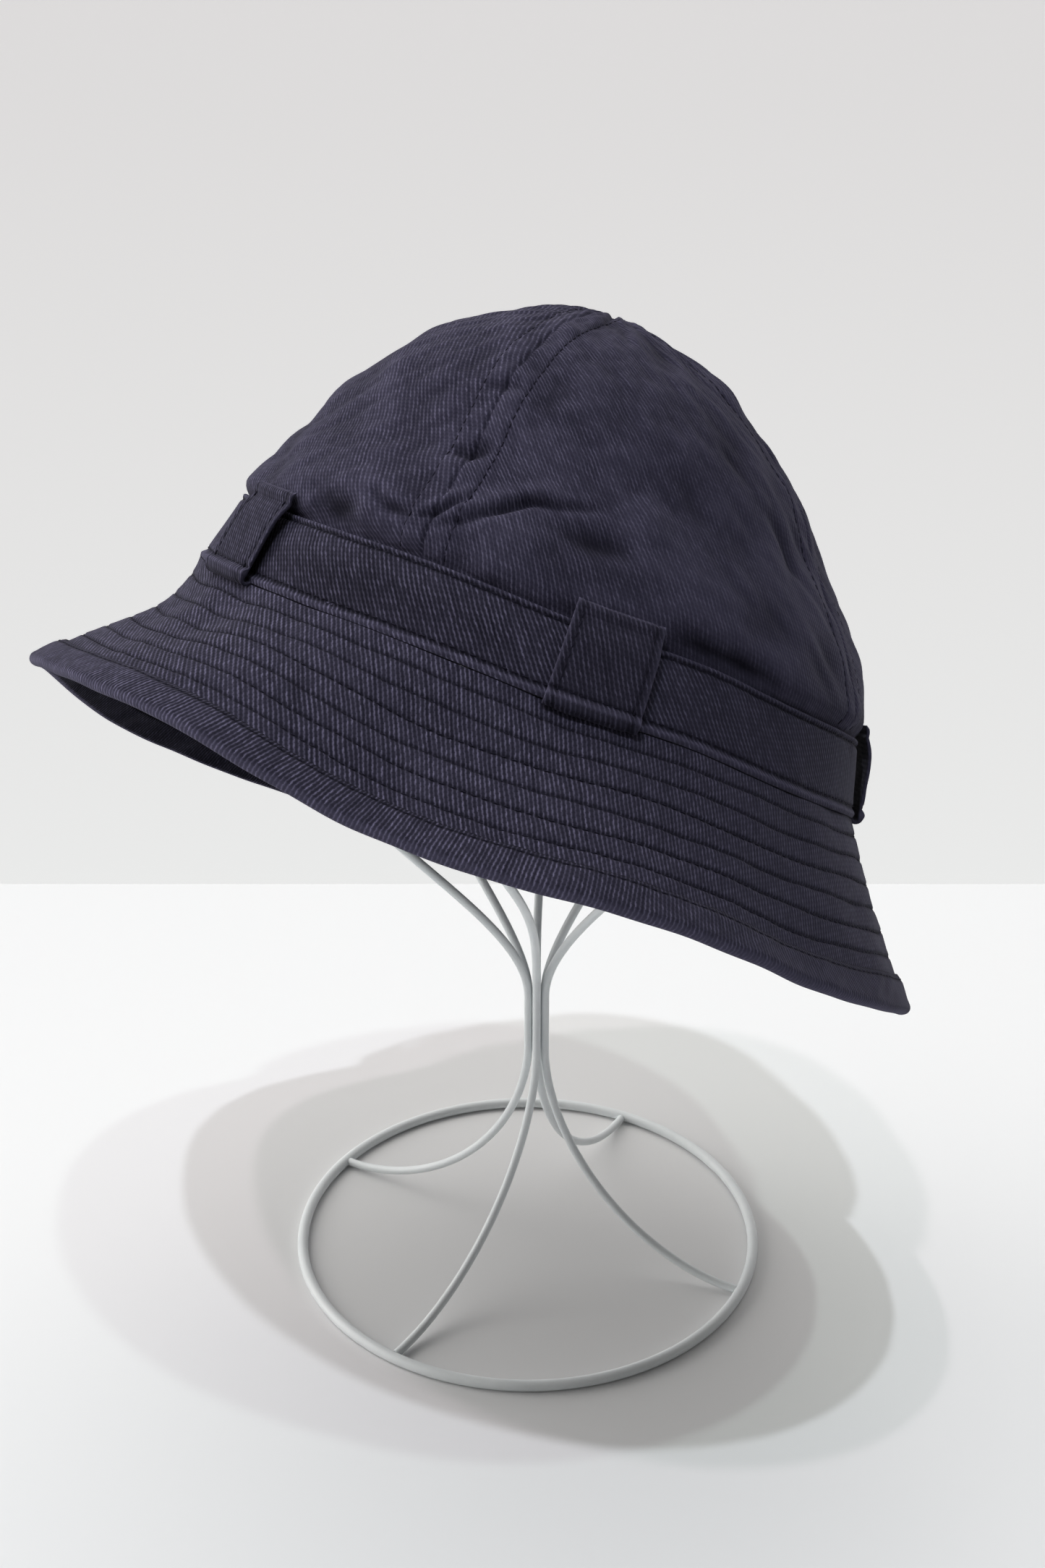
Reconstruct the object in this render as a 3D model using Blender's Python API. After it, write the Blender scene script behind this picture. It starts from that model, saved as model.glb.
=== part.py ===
"""A bush hat resting on a wire hat stand.

The hat is a bell-shaped cloth hat: four crown panels, a plain band over their foot, five strap
loops that stand off the band, a stitched brim that flares in waves, and a binding folded round
its edge. It sits tilted on the ball-shaped top of a stand made of three bent wires and a ring.

Azimuths on the hat are in degrees about its own axis: 0 faces the front (-Y), positive turns
to the hat's +X side. Azimuths on the stand are counted from +X, counterclockwise seen from above.
"""

import math

import bmesh
import bpy
import numpy as np
from mathutils import Matrix, Vector
from mathutils.bvhtree import BVHTree

# Driving sizes of the hat, in metres and degrees
HEAD_GIRTH = 0.582             # round the inside of the crown, where the head goes
CROWN_WALL = 0.0012
CROWN_HEIGHT = 0.104           # brim seam to the top, outside
CROWN_LEAN = 0.0131            # how far the soft top sags towards the hat's -X side
LEAN_POWER = 1.3               # above 1 the sag gathers towards the top
BAND_HEIGHT = 0.0201
BAND_WALL = 0.0012
BAND_INSET = 0.0058            # how much narrower the band is at its top than at the brim
BRIM_SLANT = 0.0542            # brim seam to the folded edge, along the cloth
BRIM_WALL = 0.0012
BINDING_WIDTH = 0.0106
BINDING_WALL = 0.001
LOOP_WIDTH = 0.0235
LOOP_LENGTH = 0.0252           # from the brim seam up to the strap's upper end
LOOP_REACH = 0.0046            # how far the strap's face stands off the band
LOOP_ROLL = 0.0014             # radius at which its lower end is rolled under
LOOP_LIFT = 0.0006             # the roll's middle above the brim seam
LOOP_WALL = 0.001
FIRST_SEAM_AZIMUTH = -28.5     # of the crown's front seam
PANELS = 4
LOOP_AZIMUTHS = (-64.0, 4.5, 88.0, 154.0, 222.0)

# How the hat sits
HAT_TILT = 30.2
HAT_TILT_HEADING = 46.4        # the way the crown leans, counterclockwise from +X
BALL_IN_HAT_X = -0.0047        # the ball's centre, from the hat's axis
BALL_IN_HAT_Y = 0.0021

# Driving sizes of the stand
RING_RADIUS = 0.0723           # to the middle of the wire
RING_WIRE = 0.0034
RIB_WIRE = 0.0026
LEG_HEIGHT = 0.0728            # floor to where the legs close up into the waist
WAIST_LENGTH = 0.0192
WAIST_OFFSET_X = 0.0026        # the waist and the ball, from the ring's centre
WAIST_OFFSET_Y = -0.0011
BALL_RADIUS = 0.075            # to the middle of the ribs
BALL_HEIGHT = 0.2146           # floor to the ball's centre
BALL_START = -25.0             # latitude where the ribs have come out to the ball
FLARE_PULL = 0.080             # how strongly a rib holds its direction at the flare's ends
LEG_FULLNESS = 1.1             # 1 is a quarter of an ellipse
ARCH_TURN_START = 65.0         # latitude from which an arch turns to its other side's heading
ARCH_TURN_SPAN = 50.0

# How finely the hat is slid onto the ball
SEAT_STEP = 0.002
SEAT_PRECISION = 0.000005
LINING_COLUMNS = 72
LINING_ROWS = 40
LINING_TOP_SHARES = (0.96, 0.985, 0.999)

# Clearances between pieces
CLOTH_GAP = 0.0003
WIRE_GAP = 0.0003

# Mesh fineness
PANEL_COLUMNS = 14
BRIM_COLUMNS = 80
SLANT_STEPS = 24
BAND_COLUMNS = 72
LOOP_COLUMNS = 3
LOOP_ROLL_STEPS = 4
RING_COLUMNS = 40
RING_SIDES = 8
LEG_STEPS = 8
FLARE_STEPS = 7
ARCH_STEPS = 20
FOLD_CORNERS = (-36.0, 36.0)   # of the binding's folded edge
AZIMUTH_STEP = 0.5             # over which the brim's slope is taken
SHARP_ANGLE = 50.0
WELD_DISTANCE = 0.000001

# Radii that follow from them
CROWN_FOOT_RADIUS = HEAD_GIRTH / math.tau + CROWN_WALL
BAND_FOOT_RADIUS = CROWN_FOOT_RADIUS + CLOTH_GAP + BAND_WALL
CROWN_BAND_RADIUS = CROWN_FOOT_RADIUS - BAND_INSET

# The crown's outline above the band: height as a share of what is above the band, and radius
# as a share of CROWN_BAND_RADIUS.
CROWN_OUTLINE = (
    # height, radius
    (0.00, 1.000),
    (0.06, 1.014),
    (0.20, 0.967),
    (0.40, 0.826),
    (0.60, 0.711),
    (0.75, 0.569),
    (0.87, 0.396),
    (0.95, 0.238),
    (1.00, 0.000),
)

# Rows of the crown's mesh above the band, as shares of the height there.
CROWN_ROWS = (0.07, 0.15, 0.24, 0.34, 0.45, 0.56, 0.67, 0.77, 0.86, 0.93, 0.98)
TIP_RADIUS = 0.0012            # the four panels close to this at the top
SWELL_FADE = 0.05              # share over which the dents die out at the band and at the top

# Dents and swells of the crown. Depths are shares of CROWN_HEIGHT, inward negative.
CROWN_DENTS = (
    # azimuth, height share, azimuth half-width, height half-width, depth share
    (-88.0, 0.44, 20.0, 0.09, 0.026),
    (-86.0, 0.03, 24.0, 0.05, 0.010),
    (-88.0, 0.17, 22.0, 0.07, -0.020),
    (-46.0, 0.12, 20.0, 0.08, 0.012),
    (-34.0, 0.36, 14.0, 0.05, -0.010),
    (-12.0, 0.26, 20.0, 0.06, -0.022),
    (48.0, 0.07, 26.0, 0.06, 0.010),
    (54.0, 0.46, 14.0, 0.08, -0.010),
    (78.0, 0.38, 16.0, 0.08, 0.012),
    (64.0, 0.88, 26.0, 0.10, 0.024),
    (120.0, 0.40, 24.0, 0.12, -0.014),
    (205.0, 0.30, 26.0, 0.10, -0.012),
)

# The brim seam isn't quite flat, nor round: its rise and how far it comes out beyond a circle,
# as shares of BAND_HEIGHT.
SEAM_WAVE = (
    # azimuth, rise, reach
    (-90.0, 0.18, 0.13),
    (-75.0, 0.14, 0.05),
    (-60.0, 0.11, 0.00),
    (-45.0, 0.10, 0.00),
    (-30.0, 0.11, 0.00),
    (-15.0, 0.09, 0.00),
    (0.0, 0.05, 0.00),
    (20.0, 0.09, 0.00),
    (40.0, 0.00, 0.00),
    (60.0, -0.04, 0.00),
    (90.0, -0.09, 0.02),
    (140.0, -0.04, 0.00),
    (200.0, -0.34, 0.02),
    (240.0, -0.22, 0.12),
)

# How steeply the brim falls below the seam's plane, in degrees, at the seam, halfway and at
# the edge. The differences round the hat are the brim's waves.
BRIM_FALL = (
    # azimuth, at seam, halfway, at edge
    (-90.0, 94.0, 43.0, 70.0),
    (-65.0, 72.0, 37.0, 41.0),
    (-40.0, 41.0, 39.0, 38.0),
    (-15.0, 63.0, 50.0, 34.0),
    (10.0, 51.0, 45.0, 36.0),
    (35.0, 49.0, 50.0, 32.0),
    (60.0, 53.0, 51.0, 48.0),
    (90.0, 66.0, 57.0, 58.0),
    (120.0, 73.0, 74.0, 68.0),
    (150.0, 68.0, 65.0, 62.0),
    (180.0, 69.0, 66.0, 63.0),
    (210.0, 75.0, 73.0, 68.0),
    (240.0, 82.0, 63.0, 63.0),
)

# Rows of the brim's mesh, as shares of the slant inside the binding.
BRIM_ROWS = (0.0, 0.15, 0.35, 0.65, 1.0)

# Path of a strap loop's face, from its top down to where its end is rolled under: height as a
# share of LOOP_LENGTH, distance off the band or crown behind it as a share of LOOP_REACH.
LOOP_PATH = (
    # height, reach
    (1.00, 0.34),
    (0.93, 0.62),
    (0.82, 0.86),
    (0.68, 1.00),
    (0.50, 0.95),
    (0.30, 0.82),
    (0.12, 0.71),
)

# The stand's wires. Each runs from one end over the ball to the other. Azimuths: at the waist,
# on the ball and at the foot on the ring; a wire without feet ends at the waist.
STAND_WIRES = (
    # name, (waist, ball, foot) of one end, of the other end
    ("stand_wire_1", (150.0, 135.0, 148.0), (330.0, 300.0, 336.0)),
    ("stand_wire_2", (90.0, 75.0, 62.5), (270.0, 255.0, 236.0)),
    ("stand_wire_3", (210.0, 190.0, None), (30.0, 35.0, None)),
)


# Reading tables

def slopes(xs, ys):
    """Tangents of a smooth curve through the points, as its neighbours' chord gives them."""
    tangents = np.empty(len(xs))
    tangents[1:-1] = (ys[2:] - ys[:-2]) / (xs[2:] - xs[:-2])
    tangents[0] = (ys[1] - ys[0]) / (xs[1] - xs[0])
    tangents[-1] = (ys[-1] - ys[-2]) / (xs[-1] - xs[-2])
    return tangents


def hermite(xs, ys, tangents, x):
    """Value at x of the curve through (xs, ys) with these tangents."""
    place = np.clip(np.searchsorted(xs, x, side="right") - 1, 0, len(xs) - 2)
    width = xs[place + 1] - xs[place]
    t = (x - xs[place]) / width
    start = (1 + 2 * t) * (1 - t) ** 2 * ys[place] + t * (1 - t) ** 2 * width * tangents[place]
    end = t ** 2 * (3 - 2 * t) * ys[place + 1] - t ** 2 * (1 - t) * width * tangents[place + 1]
    return start + end


def read_smooth(table, column, x):
    """Reads a table's column at x, smoothly, the first column being its positions."""
    rows = np.array([(row[0], row[column]) for row in table], float)
    return hermite(rows[:, 0], rows[:, 1], slopes(rows[:, 0], rows[:, 1]), x)


def read_round(table, column, azimuth):
    """Reads a column at an azimuth, smoothly and closing on itself after a full turn."""
    rows = np.array([(row[0], row[column]) for row in table], float)
    turns = np.array([[-360.0, 0.0], [0.0, 0.0], [360.0, 0.0]])
    wide = np.concatenate([rows + turn for turn in turns])
    start = rows[0, 0]
    wrapped = start + np.mod(np.asarray(azimuth, float) - start, 360.0)
    return hermite(wide[:, 0], wide[:, 1], slopes(wide[:, 0], wide[:, 1]), wrapped)


# Shape of the cloth, in the hat's own frame: +Z is its axis, 0 is the brim seam

def outward(azimuth):
    """Unit vectors that point away from the hat's axis, in x and y."""
    angle = np.radians(azimuth)
    return np.sin(angle), -np.cos(angle)


def seam_rise(azimuth):
    return BAND_HEIGHT * read_round(SEAM_WAVE, 1, azimuth)


def seam_reach(azimuth):
    return BAND_HEIGHT * read_round(SEAM_WAVE, 2, azimuth)


def crown_outline_radius(share):
    """Radius of the crown above the band. Read against the root of the depth below the top,
    so that the top comes out round."""
    depth = [(math.sqrt(1 - height), radius) for height, radius in reversed(CROWN_OUTLINE)]
    return CROWN_BAND_RADIUS * read_smooth(depth, 1, np.sqrt(1 - np.asarray(share, float)))


def crown_swell(azimuth, share):
    """Sum of the crown's dents and swells at a place, outward positive."""
    total = np.zeros(np.broadcast(azimuth, share).shape)
    for middle, height, half_turn, half_height, depth in CROWN_DENTS:
        turn = (np.mod(azimuth - middle + 180.0, 360.0) - 180.0) / half_turn
        rise = (share - height) / half_height
        total = total + depth * CROWN_HEIGHT * np.exp(-(turn ** 2 + rise ** 2))
    return total


def crown_points(azimuth, share):
    """Outer face of the crown above the band; share runs from 0 at the band to 1 at the top."""
    x, y = outward(azimuth)
    fade = np.clip(share / SWELL_FADE, 0, 1) * np.clip((1 - share) / SWELL_FADE, 0, 1)
    radius = crown_outline_radius(share) + fade * crown_swell(azimuth, share)
    radius = radius + seam_reach(azimuth) * (1 - share) ** 2
    height = BAND_HEIGHT + share * (CROWN_HEIGHT - BAND_HEIGHT)
    height = height + seam_rise(azimuth) * (1 - share) ** 2
    lean = CROWN_LEAN * share ** LEAN_POWER
    return np.stack([radius * x - lean, radius * y, height], -1)


def cone_points(azimuth, height, foot_radius):
    """A point on the cone that the band lies on, height above the seam."""
    x, y = outward(azimuth)
    radius = foot_radius - BAND_INSET * height / BAND_HEIGHT + seam_reach(azimuth)
    return np.stack([radius * x, radius * y, height + seam_rise(azimuth)], -1)


def brim_fall(azimuth, share):
    """Fall of the brim in radians, share of the slant from the seam."""
    at_seam = read_round(BRIM_FALL, 1, azimuth)
    halfway = read_round(BRIM_FALL, 2, azimuth)
    at_edge = read_round(BRIM_FALL, 3, azimuth)
    inner = at_seam * (1 - share) * (1 - 2 * share)
    middle = halfway * 4 * share * (1 - share)
    outer = at_edge * share * (2 * share - 1)
    return np.radians(inner + middle + outer)


def brim_face(azimuth, slant):
    """A point on the brim's upper face, slant metres out from the seam along the cloth."""
    azimuth = np.asarray(azimuth, float)
    radius = BAND_FOOT_RADIUS + seam_reach(azimuth)
    height = np.full(azimuth.shape, -CLOTH_GAP) + seam_rise(azimuth)
    for step in range(SLANT_STEPS):
        fall = brim_fall(azimuth, (step + 0.5) / SLANT_STEPS)
        length = np.clip(slant - BRIM_SLANT * step / SLANT_STEPS, 0, BRIM_SLANT / SLANT_STEPS)
        radius = radius + length * np.cos(fall)
        height = height - length * np.sin(fall)
    x, y = outward(azimuth)
    return np.stack([radius * x, radius * y, height], -1)


def brim_points(azimuth, slant, lift):
    """A point on the brim, lifted square off its upper face."""
    x, y = outward(azimuth)
    fall = brim_fall(azimuth, slant / BRIM_SLANT)
    out = np.stack([np.cos(fall) * x, np.cos(fall) * y, -np.sin(fall)], -1)
    along = brim_face(azimuth + AZIMUTH_STEP, slant) - brim_face(azimuth - AZIMUTH_STEP, slant)
    normal = np.cross(out, along)
    normal = normal / np.linalg.norm(normal, axis=-1, keepdims=True)
    return brim_face(azimuth, slant) + lift * normal


# Building blocks

def material(name, colour, roughness, metallic=0.0):
    made = bpy.data.materials.new(name)
    made.use_nodes = True
    shader = made.node_tree.nodes["Principled BSDF"]
    shader.inputs["Base Color"].default_value = (*colour, 1.0)
    shader.inputs["Roughness"].default_value = roughness
    shader.inputs["Metallic"].default_value = metallic
    return made


def mesh_object(name, mesh, look, parent):
    piece = bpy.data.objects.new(name, mesh)
    bpy.context.scene.collection.objects.link(piece)
    piece.parent = parent
    mesh.materials.append(look)
    mesh.shade_smooth()
    mesh.set_sharp_from_angle(angle=math.radians(SHARP_ANGLE))
    return piece


def sheet_mesh(name, points, closed):
    """A sheet of quads through a grid of points, rows by columns. Rows run up or outwards,
    columns run with the azimuth; a closed sheet joins its last column to its first."""
    rows, columns = points.shape[:2]
    mesh = bpy.data.meshes.new(name)
    grid = np.arange(rows * columns).reshape(rows, columns)
    faces = []
    for row in range(rows - 1):
        for column in range(columns if closed else columns - 1):
            beside = (column + 1) % columns
            faces.append((grid[row, column], grid[row, beside],
                          grid[row + 1, beside], grid[row + 1, column]))
    mesh.from_pydata(points.reshape(-1, 3).tolist(), [], [list(map(int, face)) for face in faces])
    mesh.validate()
    return mesh


def cloth_piece(name, points, wall, look, parent, closed=False):
    """A sheet thickened to the given wall, on the side away from its outer face."""
    piece = mesh_object(name, sheet_mesh(name, points, closed), look, parent)
    thicken = piece.modifiers.new("wall", "SOLIDIFY")
    thicken.thickness = wall
    thicken.offset = -1.0
    thicken.use_even_offset = True
    thicken.use_rim = True
    return piece


def empty(name, matrix, parent=None):
    made = bpy.data.objects.new(name, None)
    bpy.context.scene.collection.objects.link(made)
    made.parent = parent
    made.matrix_local = matrix
    return made


# The hat's pieces

def wall_foot(wall):
    """Where a slanting wall's outer face ends, so that its inner edge ends at the seam."""
    return wall * BAND_INSET / BAND_HEIGHT


def add_crown_panels(look, parent):
    """Each panel runs from the brim seam to the top between two of the crown's seams."""
    width = 360.0 / PANELS
    across = np.linspace(0, 1, PANEL_COLUMNS + 1)
    tip = 1 - (TIP_RADIUS / CROWN_BAND_RADIUS) ** 2
    for number in range(PANELS):
        start = FIRST_SEAM_AZIMUTH + number * width
        rows = []
        for height in (wall_foot(CROWN_WALL), BAND_HEIGHT):
            radius = CROWN_FOOT_RADIUS - BAND_INSET * height / BAND_HEIGHT
            margin = math.degrees(0.5 * CLOTH_GAP / radius)
            azimuth = start + margin + across * (width - 2 * margin)
            rows.append(cone_points(azimuth, height, CROWN_FOOT_RADIUS))
        for share in (*CROWN_ROWS, tip):
            radius = float(crown_outline_radius(share))
            margin = math.degrees(math.asin(0.5 * CLOTH_GAP / radius))
            azimuth = start + margin + across * (width - 2 * margin)
            rows.append(crown_points(azimuth, share))
        cloth_piece(f"crown_panel_{number + 1}", np.array(rows), CROWN_WALL, look, parent)


def add_crown_band(look, parent):
    """A plain strip over the foot of the crown, from the brim seam up to its own top edge."""
    azimuth = np.arange(BAND_COLUMNS) * 360.0 / BAND_COLUMNS
    heights = (wall_foot(BAND_WALL), BAND_HEIGHT)
    rows = [cone_points(azimuth, height, BAND_FOOT_RADIUS) for height in heights]
    cloth_piece("crown_band", np.array(rows), BAND_WALL, look, parent, closed=True)


def add_brim(look, parent):
    """The stitched brim. A short flat margin reaches in under the crown's lower edge."""
    azimuth = np.arange(BRIM_COLUMNS) * 360.0 / BRIM_COLUMNS
    x, y = outward(azimuth)
    margin_radius = CROWN_FOOT_RADIUS - CROWN_WALL + seam_reach(azimuth)
    margin_height = seam_rise(azimuth) - CLOTH_GAP
    rows = [np.stack([margin_radius * x, margin_radius * y, margin_height], -1)]
    plain = BRIM_SLANT - BINDING_WIDTH
    rows += [brim_points(azimuth, share * plain, 0) for share in BRIM_ROWS]
    rows.append(brim_points(azimuth, BRIM_SLANT - fold_radius() - CLOTH_GAP, 0))
    cloth_piece("brim", np.array(rows[::-1]), BRIM_WALL, look, parent, closed=True)


def fold_radius():
    """Half of the bound edge's thickness: the binding is folded round the brim at this radius."""
    return 0.5 * BRIM_WALL + CLOTH_GAP + BINDING_WALL


def add_brim_binding(look, parent):
    """A strip folded round the brim's edge, seen as its upper, outer and lower faces."""
    azimuth = np.arange(BRIM_COLUMNS) * 360.0 / BRIM_COLUMNS
    radius = fold_radius()
    upper = CLOTH_GAP + BINDING_WALL
    lower = upper - 2 * radius
    section = [(BRIM_SLANT - BINDING_WIDTH, lower), (BRIM_SLANT - radius, lower)]
    for turn in FOLD_CORNERS:
        angle = math.radians(turn)
        out = BRIM_SLANT - radius + radius * math.cos(angle)
        section.append((out, 0.5 * (upper + lower) + radius * math.sin(angle)))
    section += [(BRIM_SLANT - radius, upper), (BRIM_SLANT - BINDING_WIDTH, upper)]
    rows = [brim_points(azimuth, slant, lift) for slant, lift in section]
    cloth_piece("brim_binding", np.array(rows), BINDING_WALL, look, parent, closed=True)


def loop_path():
    """Height above the seam and distance off the band of a strap's outer face, end first."""
    middle = CLOTH_GAP + LOOP_ROLL
    path = [(LOOP_ROLL, CLOTH_GAP)]
    for step in range(LOOP_ROLL_STEPS + 1):
        turn = math.pi * step / LOOP_ROLL_STEPS
        path.append((LOOP_LIFT - LOOP_ROLL * math.sin(turn), middle - LOOP_ROLL * math.cos(turn)))
    for height, reach in reversed(LOOP_PATH):
        path.append((height * LOOP_LENGTH, reach * LOOP_REACH))
    return path


def backing_radius(azimuth, height):
    """How far the band, or the crown where it swells past the band, comes out at a height."""
    band = BAND_FOOT_RADIUS - BAND_INSET * height / BAND_HEIGHT + seam_reach(azimuth)
    if height <= BAND_HEIGHT:
        return band
    share = (height - BAND_HEIGHT) / (CROWN_HEIGHT - BAND_HEIGHT)
    crown = crown_points(azimuth, share)
    return np.maximum(band, np.hypot(crown[:, 0], crown[:, 1]) + CLOTH_GAP)


def add_band_loops(look, parent):
    """Strap loops that stand off the band; the lower end of each is rolled under."""
    half_turn = math.degrees(0.5 * LOOP_WIDTH / BAND_FOOT_RADIUS)
    across = np.linspace(-half_turn, half_turn, LOOP_COLUMNS + 1)
    for number, middle in enumerate(LOOP_AZIMUTHS):
        x, y = outward(middle + across)
        rows = []
        for height, reach in loop_path():
            radius = backing_radius(middle + across, height) + reach
            rise = seam_rise(middle + across)
            rows.append(np.stack([radius * x, radius * y, height + rise], -1))
        cloth_piece(f"band_loop_{number + 1}", np.array(rows), LOOP_WALL, look, parent)


# The stand

def waist_radius():
    """The wires stand side by side in a circle, each touching the next but for the gap."""
    return (RIB_WIRE + WIRE_GAP) / (2 * math.sin(math.pi / (2 * len(STAND_WIRES))))


def polar(azimuth, radius):
    angle = math.radians(azimuth)
    return np.array([radius * math.cos(angle), radius * math.sin(angle)])


def stand_axis():
    return np.array([WAIST_OFFSET_X, WAIST_OFFSET_Y])


def leg_path(waist_azimuth, foot_azimuth):
    """From the foot on the ring up to the waist, nearly a quarter of an ellipse."""
    foot_radius = RING_RADIUS - 0.5 * RING_WIRE - WIRE_GAP
    foot = polar(foot_azimuth, foot_radius)
    waist = stand_axis() + polar(waist_azimuth, waist_radius())
    foot_height = 0.5 * RING_WIRE
    points = []
    for step in range(LEG_STEPS):
        turn = 0.5 * math.pi * step / LEG_STEPS
        inward = math.sin(turn) ** LEG_FULLNESS
        rise = 1 - math.cos(turn) ** LEG_FULLNESS
        place = foot + (waist - foot) * inward
        points.append((*place, foot_height + (LEG_HEIGHT - foot_height) * rise))
    return points


def flare_path(waist_azimuth, ball_azimuth):
    """From the foot of the waist up, and out to the ball."""
    start = np.array([waist_radius(), LEG_HEIGHT + WAIST_LENGTH])
    latitude = math.radians(BALL_START)
    end = np.array([BALL_RADIUS * math.cos(latitude), BALL_HEIGHT + BALL_RADIUS * math.sin(latitude)])
    start_pull = FLARE_PULL * np.array([0.0, 1.0])
    end_pull = FLARE_PULL * np.array([-math.sin(latitude), math.cos(latitude)])
    axis = stand_axis()
    points = [(*(axis + polar(waist_azimuth, waist_radius())), LEG_HEIGHT)]
    for step in range(FLARE_STEPS):
        t = step / FLARE_STEPS
        radius, height = ((1 + 2 * t) * (1 - t) ** 2 * start + t * (1 - t) ** 2 * start_pull
                          + t ** 2 * (3 - 2 * t) * end - t ** 2 * (1 - t) * end_pull)
        share = (radius - start[0]) / (end[0] - start[0])
        azimuth = waist_azimuth + (ball_azimuth - waist_azimuth) * share
        points.append((*(axis + polar(azimuth, radius)), height))
    return points


def arch_path(first_azimuth, second_azimuth, level):
    """Over the ball. Arches of different levels pass under each other at the top."""
    first = polar(first_azimuth, 1.0)
    second = -polar(second_azimuth, 1.0)
    top_radius = BALL_RADIUS - level * (RIB_WIRE + WIRE_GAP)
    points = []
    for step in range(ARCH_STEPS + 1):
        latitude = BALL_START + (180.0 - 2 * BALL_START) * step / ARCH_STEPS
        angle = math.radians(latitude)
        blend = min(max((latitude - ARCH_TURN_START) / ARCH_TURN_SPAN, 0.0), 1.0)
        blend = blend * blend * (3 - 2 * blend)
        heading = first + (second - first) * blend
        place = stand_axis() + BALL_RADIUS * math.cos(angle) * heading
        radius = top_radius if math.sin(angle) > 0 else BALL_RADIUS
        points.append((*place, BALL_HEIGHT + radius * math.sin(angle)))
    return points


def wire_path(one_end, other_end, level):
    """The middle line of one of the stand's wires, from one end to the other."""
    sides = []
    for waist_azimuth, ball_azimuth, foot_azimuth in (one_end, other_end):
        leg = leg_path(waist_azimuth, foot_azimuth) if foot_azimuth is not None else []
        sides.append(leg + flare_path(waist_azimuth, ball_azimuth))
    arch = arch_path(one_end[1], other_end[1], level)
    return sides[0] + arch + sides[1][::-1]


def add_stand_wire(name, path, look, parent):
    curve = bpy.data.curves.new(name, "CURVE")
    curve.dimensions = "3D"
    curve.bevel_depth = 0.5 * RIB_WIRE
    curve.bevel_resolution = 1
    curve.use_fill_caps = True
    spline = curve.splines.new("POLY")
    spline.points.add(len(path) - 1)
    for point, place in zip(spline.points, path):
        point.co = (*place, 1.0)
    curve.materials.append(look)
    wire = bpy.data.objects.new(name, curve)
    bpy.context.scene.collection.objects.link(wire)
    wire.parent = parent


def add_base_ring(look, parent):
    """The ring that the stand rests on: an eight-sided wire, flat side down, spun round."""
    outline = bmesh.new()
    corners = []
    apothem = 0.5 * RING_WIRE
    for side in range(RING_SIDES):
        angle = math.tau * (side + 0.5) / RING_SIDES
        reach = apothem / math.cos(math.pi / RING_SIDES)
        corners.append(outline.verts.new((RING_RADIUS + reach * math.cos(angle), 0,
                                          apothem + reach * math.sin(angle))))
    edges = [outline.edges.new((corners[side], corners[(side + 1) % RING_SIDES]))
             for side in range(RING_SIDES)]
    bmesh.ops.spin(outline, geom=corners + edges, cent=(0, 0, 0), axis=(0, 0, 1),
                   angle=math.tau, steps=RING_COLUMNS, use_merge=True)
    bmesh.ops.remove_doubles(outline, verts=outline.verts, dist=WELD_DISTANCE)
    bmesh.ops.recalc_face_normals(outline, faces=outline.faces)
    mesh = bpy.data.meshes.new("stand_base_ring")
    outline.to_mesh(mesh)
    outline.free()
    mesh_object("stand_base_ring", mesh, look, parent)


# Seating the hat

def hat_turn():
    """The hat's tilt, about the level line square to the way it leans."""
    heading = math.radians(HAT_TILT_HEADING)
    level_line = Vector((-math.sin(heading), math.cos(heading), 0))
    return Matrix.Rotation(math.radians(HAT_TILT), 4, level_line)


def crown_lining_tree():
    """The crown's inner face, for measuring how near the stand's ribs come to it."""
    azimuth = np.arange(LINING_COLUMNS) * 360.0 / LINING_COLUMNS
    shares = np.concatenate([np.linspace(0, LINING_TOP_SHARES[0], LINING_ROWS),
                             LINING_TOP_SHARES[1:]])
    rows = [cone_points(azimuth, share * BAND_HEIGHT, CROWN_FOOT_RADIUS) for share in (0, 0.5)]
    rows += [crown_points(azimuth, share) for share in shares]
    mesh = sheet_mesh("crown_face", np.array(rows), closed=True)
    places = [vertex.co - vertex.normal * CROWN_WALL for vertex in mesh.vertices]
    faces = [tuple(polygon.vertices) for polygon in mesh.polygons]
    bpy.data.meshes.remove(mesh)
    return BVHTree.FromPolygons(places, faces)


def hat_place(turn, paths):
    """The hat's frame once the hat, slid down its own axis over the ball, comes to rest on the
    ribs with the cloth gap left."""
    tree = crown_lining_tree()
    ribs = [Vector(place) for path in paths for place in path]
    ball = Vector((*stand_axis(), BALL_HEIGHT))
    wanted = 0.5 * RIB_WIRE + CLOTH_GAP

    def placed(depth):
        seat = Vector((BALL_IN_HAT_X, BALL_IN_HAT_Y, depth))
        return Matrix.Translation(ball - turn @ seat) @ turn

    def is_clear(depth):
        inverse = placed(depth).inverted()
        for place in ribs:
            local = inverse @ place
            if local.z > 0:
                found, normal, _, distance = tree.find_nearest(local)
                if distance < wanted or (local - found).dot(normal) > 0:
                    return False
        return True

    depth = -BALL_RADIUS
    while is_clear(depth + SEAT_STEP):
        depth += SEAT_STEP
    step = SEAT_STEP
    while step > SEAT_PRECISION:
        step *= 0.5
        if is_clear(depth + step):
            depth += step
    return placed(depth)


def add_stand(look, parent):
    """The ring and the three wires. Returns the middle lines of the wires."""
    add_base_ring(look, parent)
    paths = []
    for level, (name, one_end, other_end) in enumerate(STAND_WIRES):
        path = wire_path(one_end, other_end, level)
        add_stand_wire(name, path, look, parent)
        paths.append(path)
    return paths


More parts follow.
